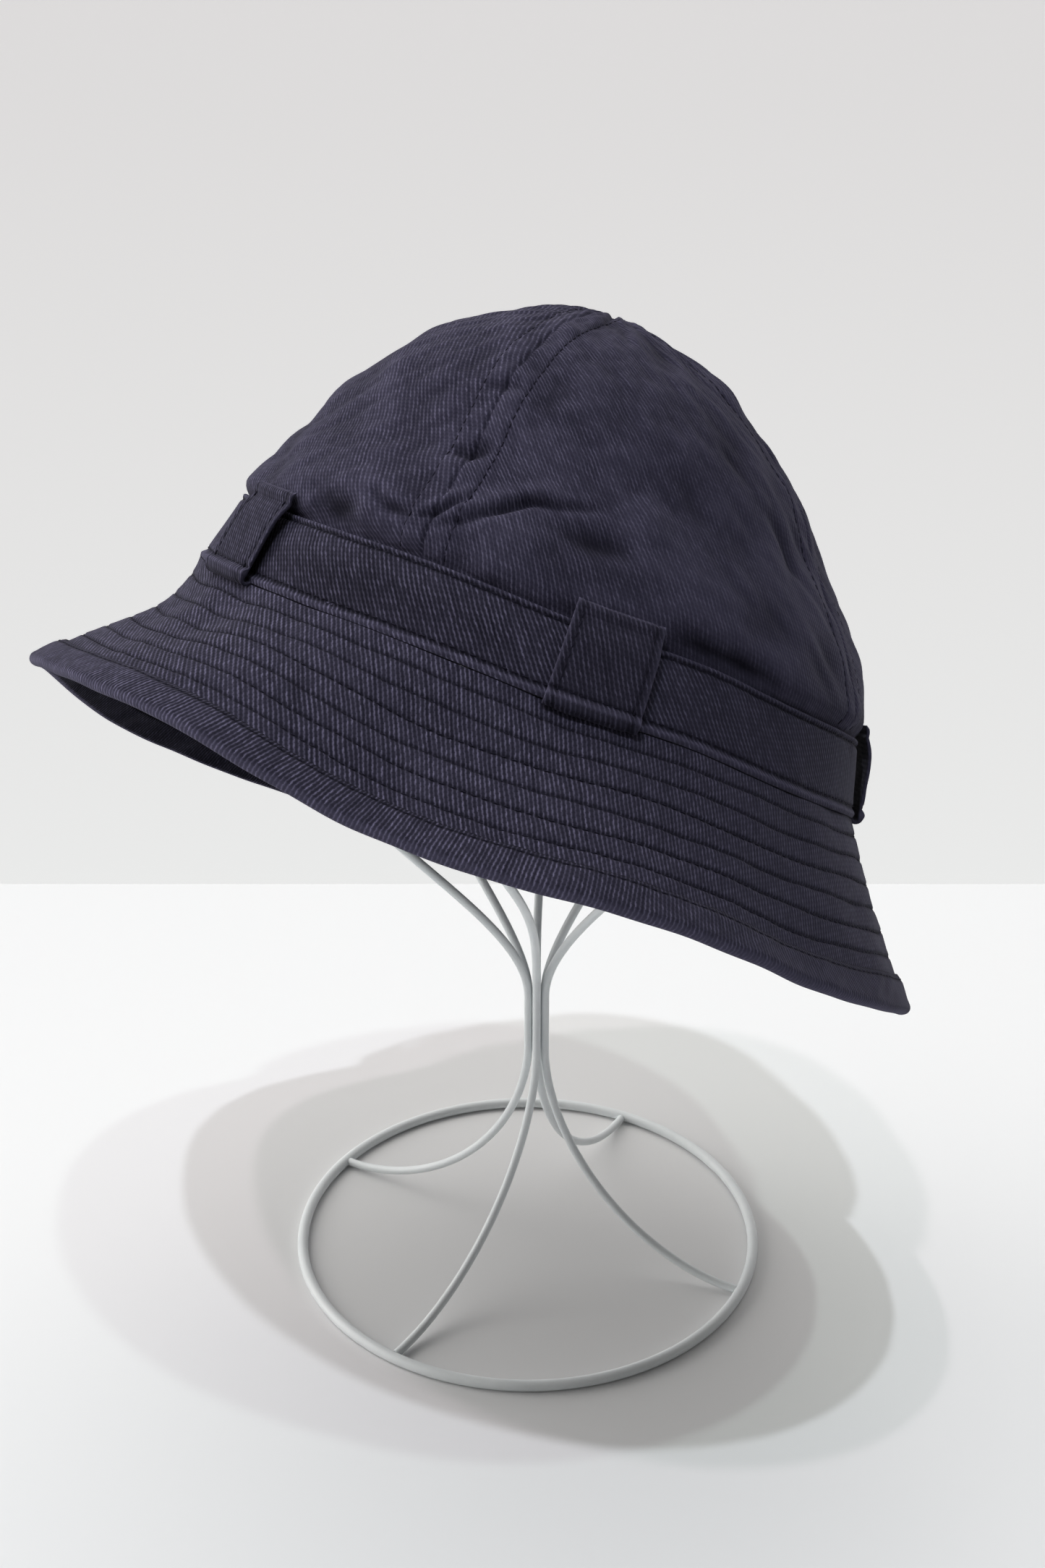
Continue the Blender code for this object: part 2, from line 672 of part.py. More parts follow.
def add_hat(paths, parent):
    """The hat's pieces under an empty that carries the tilt and the seat on the ball."""
    twill = material("navy_twill", (0.035, 0.034, 0.055), 0.9)
    strap = material("navy_strap", (0.030, 0.029, 0.048), 0.9)
    bias = material("navy_bias", (0.032, 0.031, 0.052), 0.9)
    frame = empty("hat_frame", hat_place(hat_turn(), paths), parent)
    add_crown_panels(twill, frame)
    add_crown_band(twill, frame)
    add_brim(twill, frame)
    add_brim_binding(bias, frame)
    add_band_loops(strap, frame)


def centre_over_origin(root):
    """Moves everything sideways, so that the origin is the middle of the whole on the floor."""
    bpy.context.view_layer.update()
    graph = bpy.context.evaluated_depsgraph_get()
    corners = []
    for piece in bpy.context.scene.objects:
        if piece.type in {"MESH", "CURVE"}:
            shape = piece.evaluated_get(graph)
            mesh = shape.to_mesh()
            places = np.empty(3 * len(mesh.vertices))
            mesh.vertices.foreach_get("co", places)
            matrix = np.array(shape.matrix_world)
            world = places.reshape(-1, 3) @ matrix[:3, :3].T + matrix[:3, 3]
            corners += [world.min(axis=0), world.max(axis=0)]
            shape.to_mesh_clear()
    lowest = np.min(corners, axis=0)
    highest = np.max(corners, axis=0)
    middle = 0.5 * (lowest + highest)
    root.location = (-middle[0], -middle[1], -lowest[2])
    bpy.context.view_layer.update()


def main():
    for old in list(bpy.data.objects):
        bpy.data.objects.remove(old, do_unlink=True)
    root = empty("part_frame", Matrix.Identity(4))
    wire_look = material("white_wire", (0.62, 0.64, 0.65), 0.45)
    paths = add_stand(wire_look, root)
    add_hat(paths, root)
    centre_over_origin(root)


main()
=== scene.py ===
"""Looks of a bush hat resting on a wire hat stand.

Lengths are in metres and angles in degrees. The hat is worked out in its own frame, where +Z is
its axis and 0 the brim seam, with the same tables as the part's source, and is then set where the
packed band lies. Azimuth 0 faces the front (-Y) and positive turns to the hat's +X side.
"""

import functools
import math

import bpy
import numpy as np
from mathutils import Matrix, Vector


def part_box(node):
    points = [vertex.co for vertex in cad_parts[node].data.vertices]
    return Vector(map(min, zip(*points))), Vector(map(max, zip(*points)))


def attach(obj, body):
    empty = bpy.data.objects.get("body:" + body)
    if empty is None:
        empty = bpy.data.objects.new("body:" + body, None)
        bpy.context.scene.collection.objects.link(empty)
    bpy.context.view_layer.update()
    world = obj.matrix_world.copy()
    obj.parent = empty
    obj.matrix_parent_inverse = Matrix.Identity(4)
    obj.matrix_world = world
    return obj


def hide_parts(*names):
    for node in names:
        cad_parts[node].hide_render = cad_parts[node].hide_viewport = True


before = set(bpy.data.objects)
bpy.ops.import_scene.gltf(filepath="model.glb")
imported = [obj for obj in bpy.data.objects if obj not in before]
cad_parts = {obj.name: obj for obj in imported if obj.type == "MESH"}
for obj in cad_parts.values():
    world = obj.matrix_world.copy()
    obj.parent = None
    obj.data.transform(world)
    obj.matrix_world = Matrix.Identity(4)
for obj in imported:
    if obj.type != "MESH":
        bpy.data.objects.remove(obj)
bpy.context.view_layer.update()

# Sizes of the hat, as in the part
HEAD_GIRTH = 0.582
CROWN_WALL = 0.0012
CROWN_HEIGHT = 0.104
CROWN_LEAN = 0.0131
LEAN_POWER = 1.3
BAND_HEIGHT = 0.0201
BAND_WALL = 0.0012
BAND_INSET = 0.0058
BRIM_SLANT = 0.0542
BRIM_WALL = 0.0012
BINDING_WIDTH = 0.0106
BINDING_WALL = 0.001
LOOP_WIDTH = 0.0235
LOOP_LENGTH = 0.0252
LOOP_REACH = 0.0046
LOOP_ROLL = 0.0014
LOOP_LIFT = 0.0006
FIRST_SEAM_AZIMUTH = -28.5
PANELS = 4
PANEL_TURN = 360.0 / PANELS
LOOP_AZIMUTHS = (-64.0, 4.5, 88.0, 154.0, 222.0)
HAT_TILT = 30.2
HAT_TILT_HEADING = 46.4
CLOTH_GAP = 0.0003
SWELL_FADE = 0.05
SLANT_STEPS = 24
AZIMUTH_STEP = 0.5

CROWN_FOOT_RADIUS = HEAD_GIRTH / math.tau + CROWN_WALL
BAND_FOOT_RADIUS = CROWN_FOOT_RADIUS + CLOTH_GAP + BAND_WALL
CROWN_BAND_RADIUS = CROWN_FOOT_RADIUS - BAND_INSET
BAND_LEAN = math.atan(BAND_INSET / BAND_HEIGHT)

CROWN_OUTLINE = (
    # height, radius
    (0.00, 1.000),
    (0.06, 1.014),
    (0.20, 0.967),
    (0.40, 0.826),
    (0.60, 0.711),
    (0.75, 0.569),
    (0.87, 0.396),
    (0.95, 0.238),
    (1.00, 0.000),
)

CROWN_DENTS = (
    # azimuth, height share, azimuth half-width, height half-width, depth share
    (-88.0, 0.44, 20.0, 0.09, 0.026),
    (-86.0, 0.03, 24.0, 0.05, 0.010),
    (-88.0, 0.17, 22.0, 0.07, -0.020),
    (-46.0, 0.12, 20.0, 0.08, 0.012),
    (-34.0, 0.36, 14.0, 0.05, -0.010),
    (-12.0, 0.26, 20.0, 0.06, -0.022),
    (48.0, 0.07, 26.0, 0.06, 0.010),
    (54.0, 0.46, 14.0, 0.08, -0.010),
    (78.0, 0.38, 16.0, 0.08, 0.012),
    (64.0, 0.88, 26.0, 0.10, 0.024),
    (120.0, 0.40, 24.0, 0.12, -0.014),
    (205.0, 0.30, 26.0, 0.10, -0.012),
)

SEAM_WAVE = (
    # azimuth, rise, reach
    (-90.0, 0.18, 0.13),
    (-75.0, 0.14, 0.05),
    (-60.0, 0.11, 0.00),
    (-45.0, 0.10, 0.00),
    (-30.0, 0.11, 0.00),
    (-15.0, 0.09, 0.00),
    (0.0, 0.05, 0.00),
    (20.0, 0.09, 0.00),
    (40.0, 0.00, 0.00),
    (60.0, -0.04, 0.00),
    (90.0, -0.09, 0.02),
    (140.0, -0.04, 0.00),
    (200.0, -0.34, 0.02),
    (240.0, -0.22, 0.12),
)

BRIM_FALL = (
    # azimuth, at seam, halfway, at edge
    (-90.0, 94.0, 43.0, 70.0),
    (-65.0, 72.0, 37.0, 41.0),
    (-40.0, 41.0, 39.0, 38.0),
    (-15.0, 63.0, 50.0, 34.0),
    (10.0, 51.0, 45.0, 36.0),
    (35.0, 49.0, 50.0, 32.0),
    (60.0, 53.0, 51.0, 48.0),
    (90.0, 66.0, 57.0, 58.0),
    (120.0, 73.0, 74.0, 68.0),
    (150.0, 68.0, 65.0, 62.0),
    (180.0, 69.0, 66.0, 63.0),
    (210.0, 75.0, 73.0, 68.0),
    (240.0, 82.0, 63.0, 63.0),
)

LOOP_PATH = (
    # height, reach
    (1.00, 0.34),
    (0.93, 0.62),
    (0.82, 0.86),
    (0.68, 1.00),
    (0.50, 0.95),
    (0.30, 0.82),
    (0.12, 0.71),
)

# Sewing
SEAM_DEPTH = 0.00055           # the groove where two crown panels meet
SEAM_HALF_WIDTH = 0.0007
ALLOWANCE_RISE = 0.00022       # the seam's turned-in cloth shows as a raised strip
ALLOWANCE_WIDTH = 0.0070
ALLOWANCE_EDGE = 0.0012        # over which the strip falls away
TOPSTITCH_OUT = 0.0062         # from the seam
TOPSTITCH_DEPTH = 0.00025
TOPSTITCH_HALF_WIDTH = 0.0005
TOPSTITCH_START = 0.001        # run above the band
TOPSTITCH_STOP = 0.012         # run below the top
STITCH_PITCH = 0.0027
STITCH_GAP = 0.26              # share of the pitch
THREAD = 0.00019               # radius
BAND_STITCH_HEIGHT = BAND_HEIGHT - 0.0015
CORD_HEIGHT = 0.0010           # middle of the band's rolled lower edge
CORD_STITCH_HEIGHT = CORD_HEIGHT + 0.0021
FOLD_RISE = 0.00025            # of the band's folded edge, above its stitches
FOLD_STEP = 0.0006
ROW_START = 0.0051             # brim seam to the first row of stitches
ROW_PITCH = 0.0067
ROWS = 6
ROW_DEPTH = 0.00042
ROW_HALF_WIDTH = 0.00055
ROW_WANDER = 0.00025
STITCH_PULL = 0.00010          # how much each stitch draws the cloth in
LOWER_SEWING = 0.6             # share of the sewing's depth that the brim's lower face shows
BINDING_START = BRIM_SLANT - BINDING_WIDTH
BINDING_STITCH_IN = 0.0015     # from the binding's inner edge
LOOP_STITCH_IN = 0.0021        # from the strap's long edges
LOOP_THICKNESS = 0.0013
ROLL_START = 0.0035            # where the strap leaves its rolled end, along its line
ROLL_STEP = 0.001
ROLL_STITCH = 0.0034           # height of the stitches above the strap's rolled end
ROLL_CREST = 0.0062            # along the strap from its hidden end to the roll's upper side
STRAP_TIP = 0.0012             # the strap's top thins over this length
STRAP_TIP_SHARE = 0.25         # to this share of its thickness

BAND_RIDGES = (
    # height, half-width, depth
    (CORD_HEIGHT, 0.0008, 0.00055),
    (CORD_HEIGHT + 0.0017, 0.0006, -0.00035),
    (BAND_STITCH_HEIGHT, 0.0006, -0.00050),
)

BAND_TUGS = (
    # height, half-width, depth
    (CORD_HEIGHT + 0.0015, 0.0025, 0.00013),
    (BAND_STITCH_HEIGHT, 0.0022, 0.00013),
)

BINDING_RIDGES = (
    # from the inner edge, half-width, depth
    (0.0, 0.0009, -0.00070),
    (BINDING_STITCH_IN, 0.0007, -0.00030),
)

STRAP_RIDGES = (
    # from the long edge, half-width, depth
    (0.0, 0.0009, 0.00012),
    (LOOP_STITCH_IN, 0.0006, -0.00022),
)

ROLL_RIDGES = (
    # height, half-width, depth
    (0.0014, 0.0012, 0.0008),
    (ROLL_STITCH, 0.0006, -0.0005),
)

# Folds and unevenness
PUCKER_DEPTH = 0.00040
PUCKER_PITCH = 0.0105
PUCKER_HALF_WIDTH = 0.008
PUCKER_GROUP = 0.045           # pitch at which puckers grow and weaken along a seam
CRUMPLE = 0.00026              # depth of the cloth's fine unevenness
CRUMPLE_PITCH = 0.012
CRUMPLE_RADIUS = 0.085         # of the cylinder that it is read on
TOP_FADE = 0.006               # run below the top over which the relief dies away
FOOT_FADE = 0.004              # and the same above the band
FOOT_START = -0.001            # run above the band where the relief starts
RIDGE_OUT = 2.1                # a crease's ridges from its valley, in its half-widths
RIDGE_WIDTH = 1.4
CREASE_FADE = 0.7              # power of the sine that a crease's ends fade with
BRIM_SPREAD = 0.7              # how fast the brim's radius grows with its slant
BRIM_CONE = 47.0               # slope of the cone that it is laid flat from
ROW_TUG = 0.00010              # tugs that run across a row of stitches
ROW_TUG_PITCH = 0.008
ROW_TUG_REACH = 3.5            # in the row's half-widths
STRAP_SAG = -0.0004
STRAP_SAG_SIZE = 0.008
STRAP_SAG_HEIGHT = 0.013

CROWN_CREASES = (
    # half-width, valley's depth, ridge above, ridge below, places as azimuth and height
    (0.0015, 0.0016, 0.0009, 0.0005, ((-29.0, 0.0092), (-24.0, 0.0126), (-19.8, 0.0183),
                                      (-16.8, 0.0222), (-13.5, 0.0259), (-7.0, 0.0285),
                                      (1.0, 0.0335))),
    (0.0011, 0.0014, 0.0007, 0.0004, ((-31.2, 0.0102), (-28.5, 0.0126), (-26.0, 0.0170),
                                      (-23.2, 0.0209))),
    (0.0016, 0.0014, 0.0006, 0.0006, ((-41.8, 0.0139), (-38.5, 0.0110), (-35.2, 0.0099),
                                      (-31.2, 0.0105))),
    (0.0020, 0.0014, 0.0006, 0.0005, ((-33.0, 0.0338), (-28.8, 0.0338), (-24.8, 0.0387))),
    (0.0022, 0.0012, 0.0006, 0.0004, ((-33.5, 0.0552), (-28.5, 0.0581), (-24.8, 0.0607))),
    (0.0030, 0.0013, 0.0007, 0.0005, ((-8.2, 0.0199), (-0.8, 0.0217), (5.8, 0.0212))),
    (0.0038, 0.0014, 0.0005, 0.0003, ((-53.5, 0.0050), (-46.0, 0.0060), (-40.8, 0.0055))),
    (0.0042, -0.0012, 0.0, 0.0, ((6.5, 0.0419), (8.2, 0.0340), (9.0, 0.0254))),
    (0.0028, 0.0012, 0.0005, 0.0004, ((40.8, 0.0531), (45.8, 0.0434), (46.5, 0.0361))),
    (0.0030, 0.0015, 0.0011, 0.0, ((12.0, 0.0060), (20.0, 0.0039), (29.0, 0.0034),
                                   (39.8, 0.0034))),
    (0.0060, 0.0010, 0.0004, 0.0, ((28.2, 0.0858), (30.0, 0.0728), (36.0, 0.0552))),
)

BRIM_SWELLS = (
    # azimuth, slant, azimuth half-width, slant half-width, depth
    (-63.0, 0.0120, 5.0, 0.012, 0.0010),
    (-54.0, 0.0140, 5.0, 0.012, -0.0008),
    (-76.0, 0.0260, 6.0, 0.016, 0.0008),
    (40.0, 0.0440, 12.0, 0.012, -0.0010),
    (140.0, 0.0300, 12.0, 0.018, 0.0010),
    (205.0, 0.0360, 14.0, 0.016, -0.0010),
)

BAND_SWELLS = (
    # azimuth, height share, azimuth half-width, height half-width, depth
    (-38.0, 0.14, 20.0, 0.16, -0.0006),
    (-36.0, 0.62, 24.0, 0.26, 0.0015),
    (24.0, 0.60, 12.0, 0.30, 0.0004),
    (55.0, 0.35, 16.0, 0.30, -0.0003),
    (120.0, 0.40, 20.0, 0.30, -0.0005),
    (190.0, 0.50, 22.0, 0.30, 0.0004),
)

# Tones: above 0 worn pale, with a painted highlight on the straps' rolled ends; below 0 painted
# shade
UNDERSIDE_PAINTED_SHADE = -0.85         # painted shade on the brim's underside, the binding's included
# painted shade in the grooves along the brim's rows of stitches
ROW_PAINTED_SHADE = -0.7
CROWN_SHADE_AND_WEAR_DEPTH = 0.0017      # relief that takes the crown's tone to 1: painted shade in hollows, wear on raised cloth
CROWN_TONE_TOP = 0.15
# The band's grooves get painted shade, its cord and folded edge wear
BAND_SHADE_AND_WEAR_DEPTH = 0.0006
BAND_SHADE_AND_WEAR_RANGE = (-0.8, 0.6)

# Painted shade on the band's front left
BAND_PAINTED_SHADES = (
    # azimuth, height share, azimuth half-width, height half-width, tone
    (-38.0, 0.4, 26.0, 0.5, -0.40),
)

# Painted shade in the binding's grooves
BINDING_GROOVE_SHADES = (
    # from the inner edge, half-width, tone
    (0.0, 0.0005, -0.85),
    (BINDING_STITCH_IN, 0.0006, -0.85),
)

BINDING_WEAR = (
    # slant, half-width, tone
    (BRIM_SLANT, 0.0007, 0.9),
)

# Painted shade in the strap's stitch grooves
STRAP_GROOVE_SHADES = (
    # from the long edge, half-width, tone
    (LOOP_STITCH_IN, 0.0005, -0.6),
)

# Painted shade in the groove above the rolled end
ROLL_GROOVE_SHADES = (
    # height, half-width, tone
    (ROLL_STITCH, 0.0005, -0.6),
)

STRAP_WEAR_TONE = 0.9
STRAP_WEAR_WIDTH = 0.0006
TIP_WEAR_WIDTH = 0.0008
# The roll's crest: wear and a painted highlight
ROLL_WEAR_AND_HIGHLIGHT_TONE = 0.7
ROLL_WEAR_AND_HIGHLIGHT_WIDTH = 0.0010

# Fineness
AROUND_COLUMNS = 560
CREASE_MARKS = 36
CROWN_TURN_STEP = 0.3          # of the differences that give the crown's normals
CROWN_RUN_STEP = 0.0004
SEWN_AZIMUTHS = np.linspace(-180, 180, 2161)[None, :]
STRAP_COLUMNS = 84
STRAP_OUTLINE = 44
STRAP_POWERS = (0.42, 0.38)    # of the superellipse across the strap
STRAP_OUT_RISE = 0.2           # how far its stitches' outward way points up
STITCHED_FROM = 14             # the column where the rows along its edges start
SHARP_ANGLE = 60.0
WIRE_SIDES = 14

ROWS_BEFORE = (-0.0012, 0.0, 0.0009, 0.0018, 0.0026, 0.0033)
ROWS_NEAR = (-0.0014, -0.0009, -0.0006, -0.0003, 0.0, 0.0003, 0.0006, 0.0009, 0.0014)
ROWS_BETWEEN = (0.0021, 0.0028, 0.0035, 0.0042, 0.0048)
BEYOND_START = 0.0022          # from the last row of stitches to the rows beyond it
ROWS_BEYOND = 11
BRIM_END = BRIM_SLANT - 0.0024  # the brim's cloth ends inside the binding

# Columns and rows of each crown panel; the creased ones are finer
PANEL_GRIDS = ((200, 150), (110, 96), (110, 96), (200, 150))
PANEL_FOOT_ROWS = 5
PANEL_TIP = 0.00005            # the panels stop this run short of the top

STRAND_SIDES = 5
STRAND_RINGS = (
    # share of the stitch, hump, breadth
    (0.00, -1.1, 0.55),
    (0.22, 0.25, 1.0),
    (0.78, 0.25, 1.0),
    (1.00, -1.1, 0.55),
)

# How far the twill's ribs lean from each piece's grain
PANEL_TWILLS = (21.0, 41.0, 21.0, 41.0)
BAND_TWILL = 40.0
BRIM_TWILL = -17.2
BINDING_TWILL = -7.0
STRAP_TWILL = 26.0


# Curves, bells and unevenness

def cubic(t, start, end, start_slope, end_slope):
    """Cubic Hermite curve from start to end, read at t from 0 to 1."""
    return ((1 + 2 * t) * (1 - t) ** 2 * start + t * (1 - t) ** 2 * start_slope
            + t ** 2 * (3 - 2 * t) * end - t ** 2 * (1 - t) * end_slope)


def smooth(xs, ys, x):
    """A curve through the points (xs, ys), read at x: a cubic between each two, whose tangent at
    a point is the chord between its neighbours, at the ends the end chord."""
    tangents = np.empty(len(xs))
    tangents[1:-1] = (ys[2:] - ys[:-2]) / (xs[2:] - xs[:-2])
    tangents[0] = (ys[1] - ys[0]) / (xs[1] - xs[0])
    tangents[-1] = (ys[-1] - ys[-2]) / (xs[-1] - xs[-2])
    place = np.clip(np.searchsorted(xs, x, side="right") - 1, 0, len(xs) - 2)
    width = xs[place + 1] - xs[place]
    t = (x - xs[place]) / width
    return cubic(t, ys[place], ys[place + 1], width * tangents[place], width * tangents[place + 1])


def read_smooth(table, column, x):
    """A column of a table as a smooth curve over its first column."""
    rows = np.array([(row[0], row[column]) for row in table], float)
    return smooth(rows[:, 0], rows[:, 1], x)


def read_round(table, column, azimuth):
    """The same, closing on itself after a full turn."""
    rows = np.array([(row[0], row[column]) for row in table], float)
    turns = np.array([[-360.0, 0.0], [0.0, 0.0], [360.0, 0.0]])
    wide = np.concatenate([rows + turn for turn in turns])
    start = rows[0, 0]
    wrapped = start + np.mod(np.asarray(azimuth, float) - start, 360.0)
    return smooth(wide[:, 0], wide[:, 1], wrapped)


def bell(x):
    """A bell curve, 1 in the middle: e to the power of minus x squared."""
    return np.exp(-x ** 2)


def ramp(x):
    """0 below 0, 1 above 1, smooth between."""
    x = np.clip(x, 0, 1)
    return x * x * (3 - 2 * x)


def unit(vectors):
    """The same directions with length 1."""
    return vectors / np.linalg.norm(vectors, axis=-1, keepdims=True)


def turn_from(azimuth, middle):
    """How far an azimuth lies from a middle one, from -180 to 180 degrees."""
    return np.mod(azimuth - middle + 180.0, 360.0) - 180.0


def ridges(table, place):
    """Sum of bells across a place, each given by its middle, half-width and depth."""
    return sum(depth * bell((place - middle) / half_width) for middle, half_width, depth in table)


def swells(table, azimuth, place):
    """Sum of bells in azimuth and in one more place, each given by its two middles, two
    half-widths and depth."""
    total = np.zeros(np.broadcast(azimuth, place).shape)
    for middle, height, half_turn, half_height, depth in table:
        turn = turn_from(azimuth, middle) / half_turn
        rise = (place - height) / half_height
        total = total + depth * np.exp(-(turn ** 2 + rise ** 2))
    return total


def unevenness(u, v, pitch, seed, waves=9):
    """Smooth unevenness about -1 to 1: a sum of sine waves whose headings turn by the golden
    angle and whose lengths spread from 0.6 to 1.6 times the pitch."""
    total = np.zeros(np.broadcast(u, v).shape)
    for wave in range(waves):
        heading = math.radians(137.5 * (wave + seed))
        length = pitch * (0.6 + math.fmod(0.37 * (wave + 2 * seed), 1.0))
        phase = 2.4 * wave * (seed + 1)
        across = (u * math.cos(heading) + v * math.sin(heading)) / length
        total = total + np.sin(math.tau * across + phase)
    return total / math.sqrt(waves)


# Shape of the cloth, in the hat's own frame

def outward(azimuth):
    """The outward direction's x and y: the azimuth's sine and its negative cosine."""
    angle = np.radians(azimuth)
    return np.sin(angle), -np.cos(angle)


def seam_rise(azimuth):
    """How far the brim seam waves up, from a share of the band's height."""
    return BAND_HEIGHT * read_round(SEAM_WAVE, 1, azimuth)


def seam_reach(azimuth):
    """How far the brim seam waves out, from a share of the band's height."""
    return BAND_HEIGHT * read_round(SEAM_WAVE, 2, azimuth)


def crown_outline_radius(share):
    """Radius above the band, read against the root of the depth below the top."""
    depth = [(math.sqrt(1 - height), radius) for height, radius in reversed(CROWN_OUTLINE)]
    return CROWN_BAND_RADIUS * read_smooth(depth, 1, np.sqrt(1 - np.asarray(share, float)))


def crown_points(azimuth, share):
    """Radius times the outward direction, less the lean; share 0 at the band, 1 at the top."""
    x, y = outward(azimuth)
    fade = np.clip(share / SWELL_FADE, 0, 1) * np.clip((1 - share) / SWELL_FADE, 0, 1)
    radius = crown_outline_radius(share)
    radius = radius + fade * CROWN_HEIGHT * swells(CROWN_DENTS, azimuth, share)
    radius = radius + seam_reach(azimuth) * (1 - share) ** 2
    height = BAND_HEIGHT + share * (CROWN_HEIGHT - BAND_HEIGHT)
    height = height + seam_rise(azimuth) * (1 - share) ** 2
    lean = CROWN_LEAN * share ** LEAN_POWER
    return np.stack([radius * x - lean, radius * y, height], -1)


def cone_points(azimuth, height, foot_radius, lift=0.0):
    """The cone that the band lies on, lifted square off it."""
    x, y = outward(azimuth)
    radius = foot_radius - BAND_INSET * height / BAND_HEIGHT + seam_reach(azimuth)
    radius = radius + lift * math.cos(BAND_LEAN)
    rise = height + seam_rise(azimuth) + lift * math.sin(BAND_LEAN)
    return np.stack([radius * x, radius * y, rise + 0 * radius], -1)


def brim_fall(azimuth, share):
    """Fall in radians: the parabola through its values at the seam, halfway and at the edge."""
    at_seam = read_round(BRIM_FALL, 1, azimuth)
    halfway = read_round(BRIM_FALL, 2, azimuth)
    at_edge = read_round(BRIM_FALL, 3, azimuth)
    inner = at_seam * (1 - share) * (1 - 2 * share)
    middle = halfway * 4 * share * (1 - share)
    outer = at_edge * share * (2 * share - 1)
    return np.radians(inner + middle + outer)


def brim_face(azimuth, slant):
    """The fall summed up in short straight steps along the slant."""
    azimuth, slant = np.broadcast_arrays(np.asarray(azimuth, float), slant)
    radius = BAND_FOOT_RADIUS + seam_reach(azimuth[:1])
    height = seam_rise(azimuth[:1]) - CLOTH_GAP
    radius = radius + 0 * slant
    height = height + 0 * slant
    for step in range(SLANT_STEPS):
        fall = brim_fall(azimuth[:1], (step + 0.5) / SLANT_STEPS)
        length = np.clip(slant - BRIM_SLANT * step / SLANT_STEPS, 0, BRIM_SLANT / SLANT_STEPS)
        radius = radius + length * np.cos(fall)
        height = height - length * np.sin(fall)
    x, y = outward(azimuth)
    return np.stack([radius * x, radius * y, height], -1)


def brim_points(azimuth, slant, lift):
    """A point on the brim's upper face, lifted square off it. azimuth is a row of columns."""
    azimuth = np.atleast_2d(azimuth)
    x, y = outward(azimuth)
    fall = brim_fall(azimuth, slant / BRIM_SLANT)
    out = np.stack([np.cos(fall) * x, np.cos(fall) * y, -np.sin(fall)], -1)
    along = brim_face(azimuth + AZIMUTH_STEP, slant) - brim_face(azimuth - AZIMUTH_STEP, slant)
    normal = unit(np.cross(out, along))
    return brim_face(azimuth, slant) + np.asarray(lift)[..., None] * normal


# Where the hat stands

def turn_about(axis, degrees):
    """Rotation matrix about a unit axis (Rodrigues' formula)."""
    x, y, z = axis
    cross = np.array([[0, -z, y], [z, 0, -x], [-y, x, 0]])
    angle = math.radians(degrees)
    return np.eye(3) + math.sin(angle) * cross + (1 - math.cos(angle)) * cross @ cross


def hat_seat():
    """The hat's turn and place. The place lays the middle of the band's box, worked out here,
    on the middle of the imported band's box."""
    heading = math.radians(HAT_TILT_HEADING)
    turn = turn_about((-math.sin(heading), math.cos(heading), 0.0), HAT_TILT)
    azimuth = np.arange(72) * 5.0
    foot = BAND_WALL * BAND_INSET / BAND_HEIGHT
    rows = [cone_points(azimuth, height, BAND_FOOT_RADIUS) for height in (foot, BAND_HEIGHT)]
    places = np.concatenate(rows) @ turn.T
    low, high = (np.array(corner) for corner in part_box("crown_band"))
    return turn, 0.5 * (low + high) - 0.5 * (places.min(axis=0) + places.max(axis=0))


HAT_TURN, HAT_PLACE = hat_seat()


def on_stand(points):
    """From the hat's own frame to where it sits."""
    return points @ HAT_TURN.T + HAT_PLACE


# Making meshes

def add_piece(name, mesh, look):
    """Puts a finished mesh in the scene, on the only body and with its material slot."""
    mesh.materials.append(look)
    piece = bpy.data.objects.new(name, mesh)
    bpy.context.scene.collection.objects.link(piece)
    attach(piece, "root")
    return piece


def lay_mesh(name, points, quads, corner_weave, tone, look):
    """Puts arrays into a mesh object: vertex places, four corners a face, the weave's place at
    each corner in metres, and the tone, which is above 0 where the cloth is worn pale, on a
    strap's roll also painted highlight, and below 0 where painted shade darkens it."""
    edge = points[quads]
    volume = np.einsum("ij,ij->i", edge[:, 0], np.cross(edge[:, 1], edge[:, 2])).sum()
    volume += np.einsum("ij,ij->i", edge[:, 0], np.cross(edge[:, 2], edge[:, 3])).sum()
    if volume < 0:
        quads = quads[:, ::-1]
        corner_weave = corner_weave[:, ::-1]
    mesh = bpy.data.meshes.new(name)
    mesh.vertices.add(len(points))
    mesh.vertices.foreach_set("co", points.astype(np.float32).ravel())
    mesh.loops.add(quads.size)
    mesh.loops.foreach_set("vertex_index", quads.astype(np.int32).ravel())
    mesh.polygons.add(len(quads))
    mesh.polygons.foreach_set("loop_start", np.arange(0, quads.size, 4, dtype=np.int32))
    mesh.update(calc_edges=True)
    weave = mesh.uv_layers.new(name="weave")
    weave.data.foreach_set("uv", corner_weave.astype(np.float32).ravel())
    shade = mesh.attributes.new("tone", "FLOAT", "POINT")
    shade.data.foreach_set("value", np.broadcast_to(tone, len(points)).astype(np.float32))
    mesh.shade_smooth()
    mesh.set_sharp_from_angle(angle=math.radians(SHARP_ANGLE))
    return add_piece(name, mesh, look)


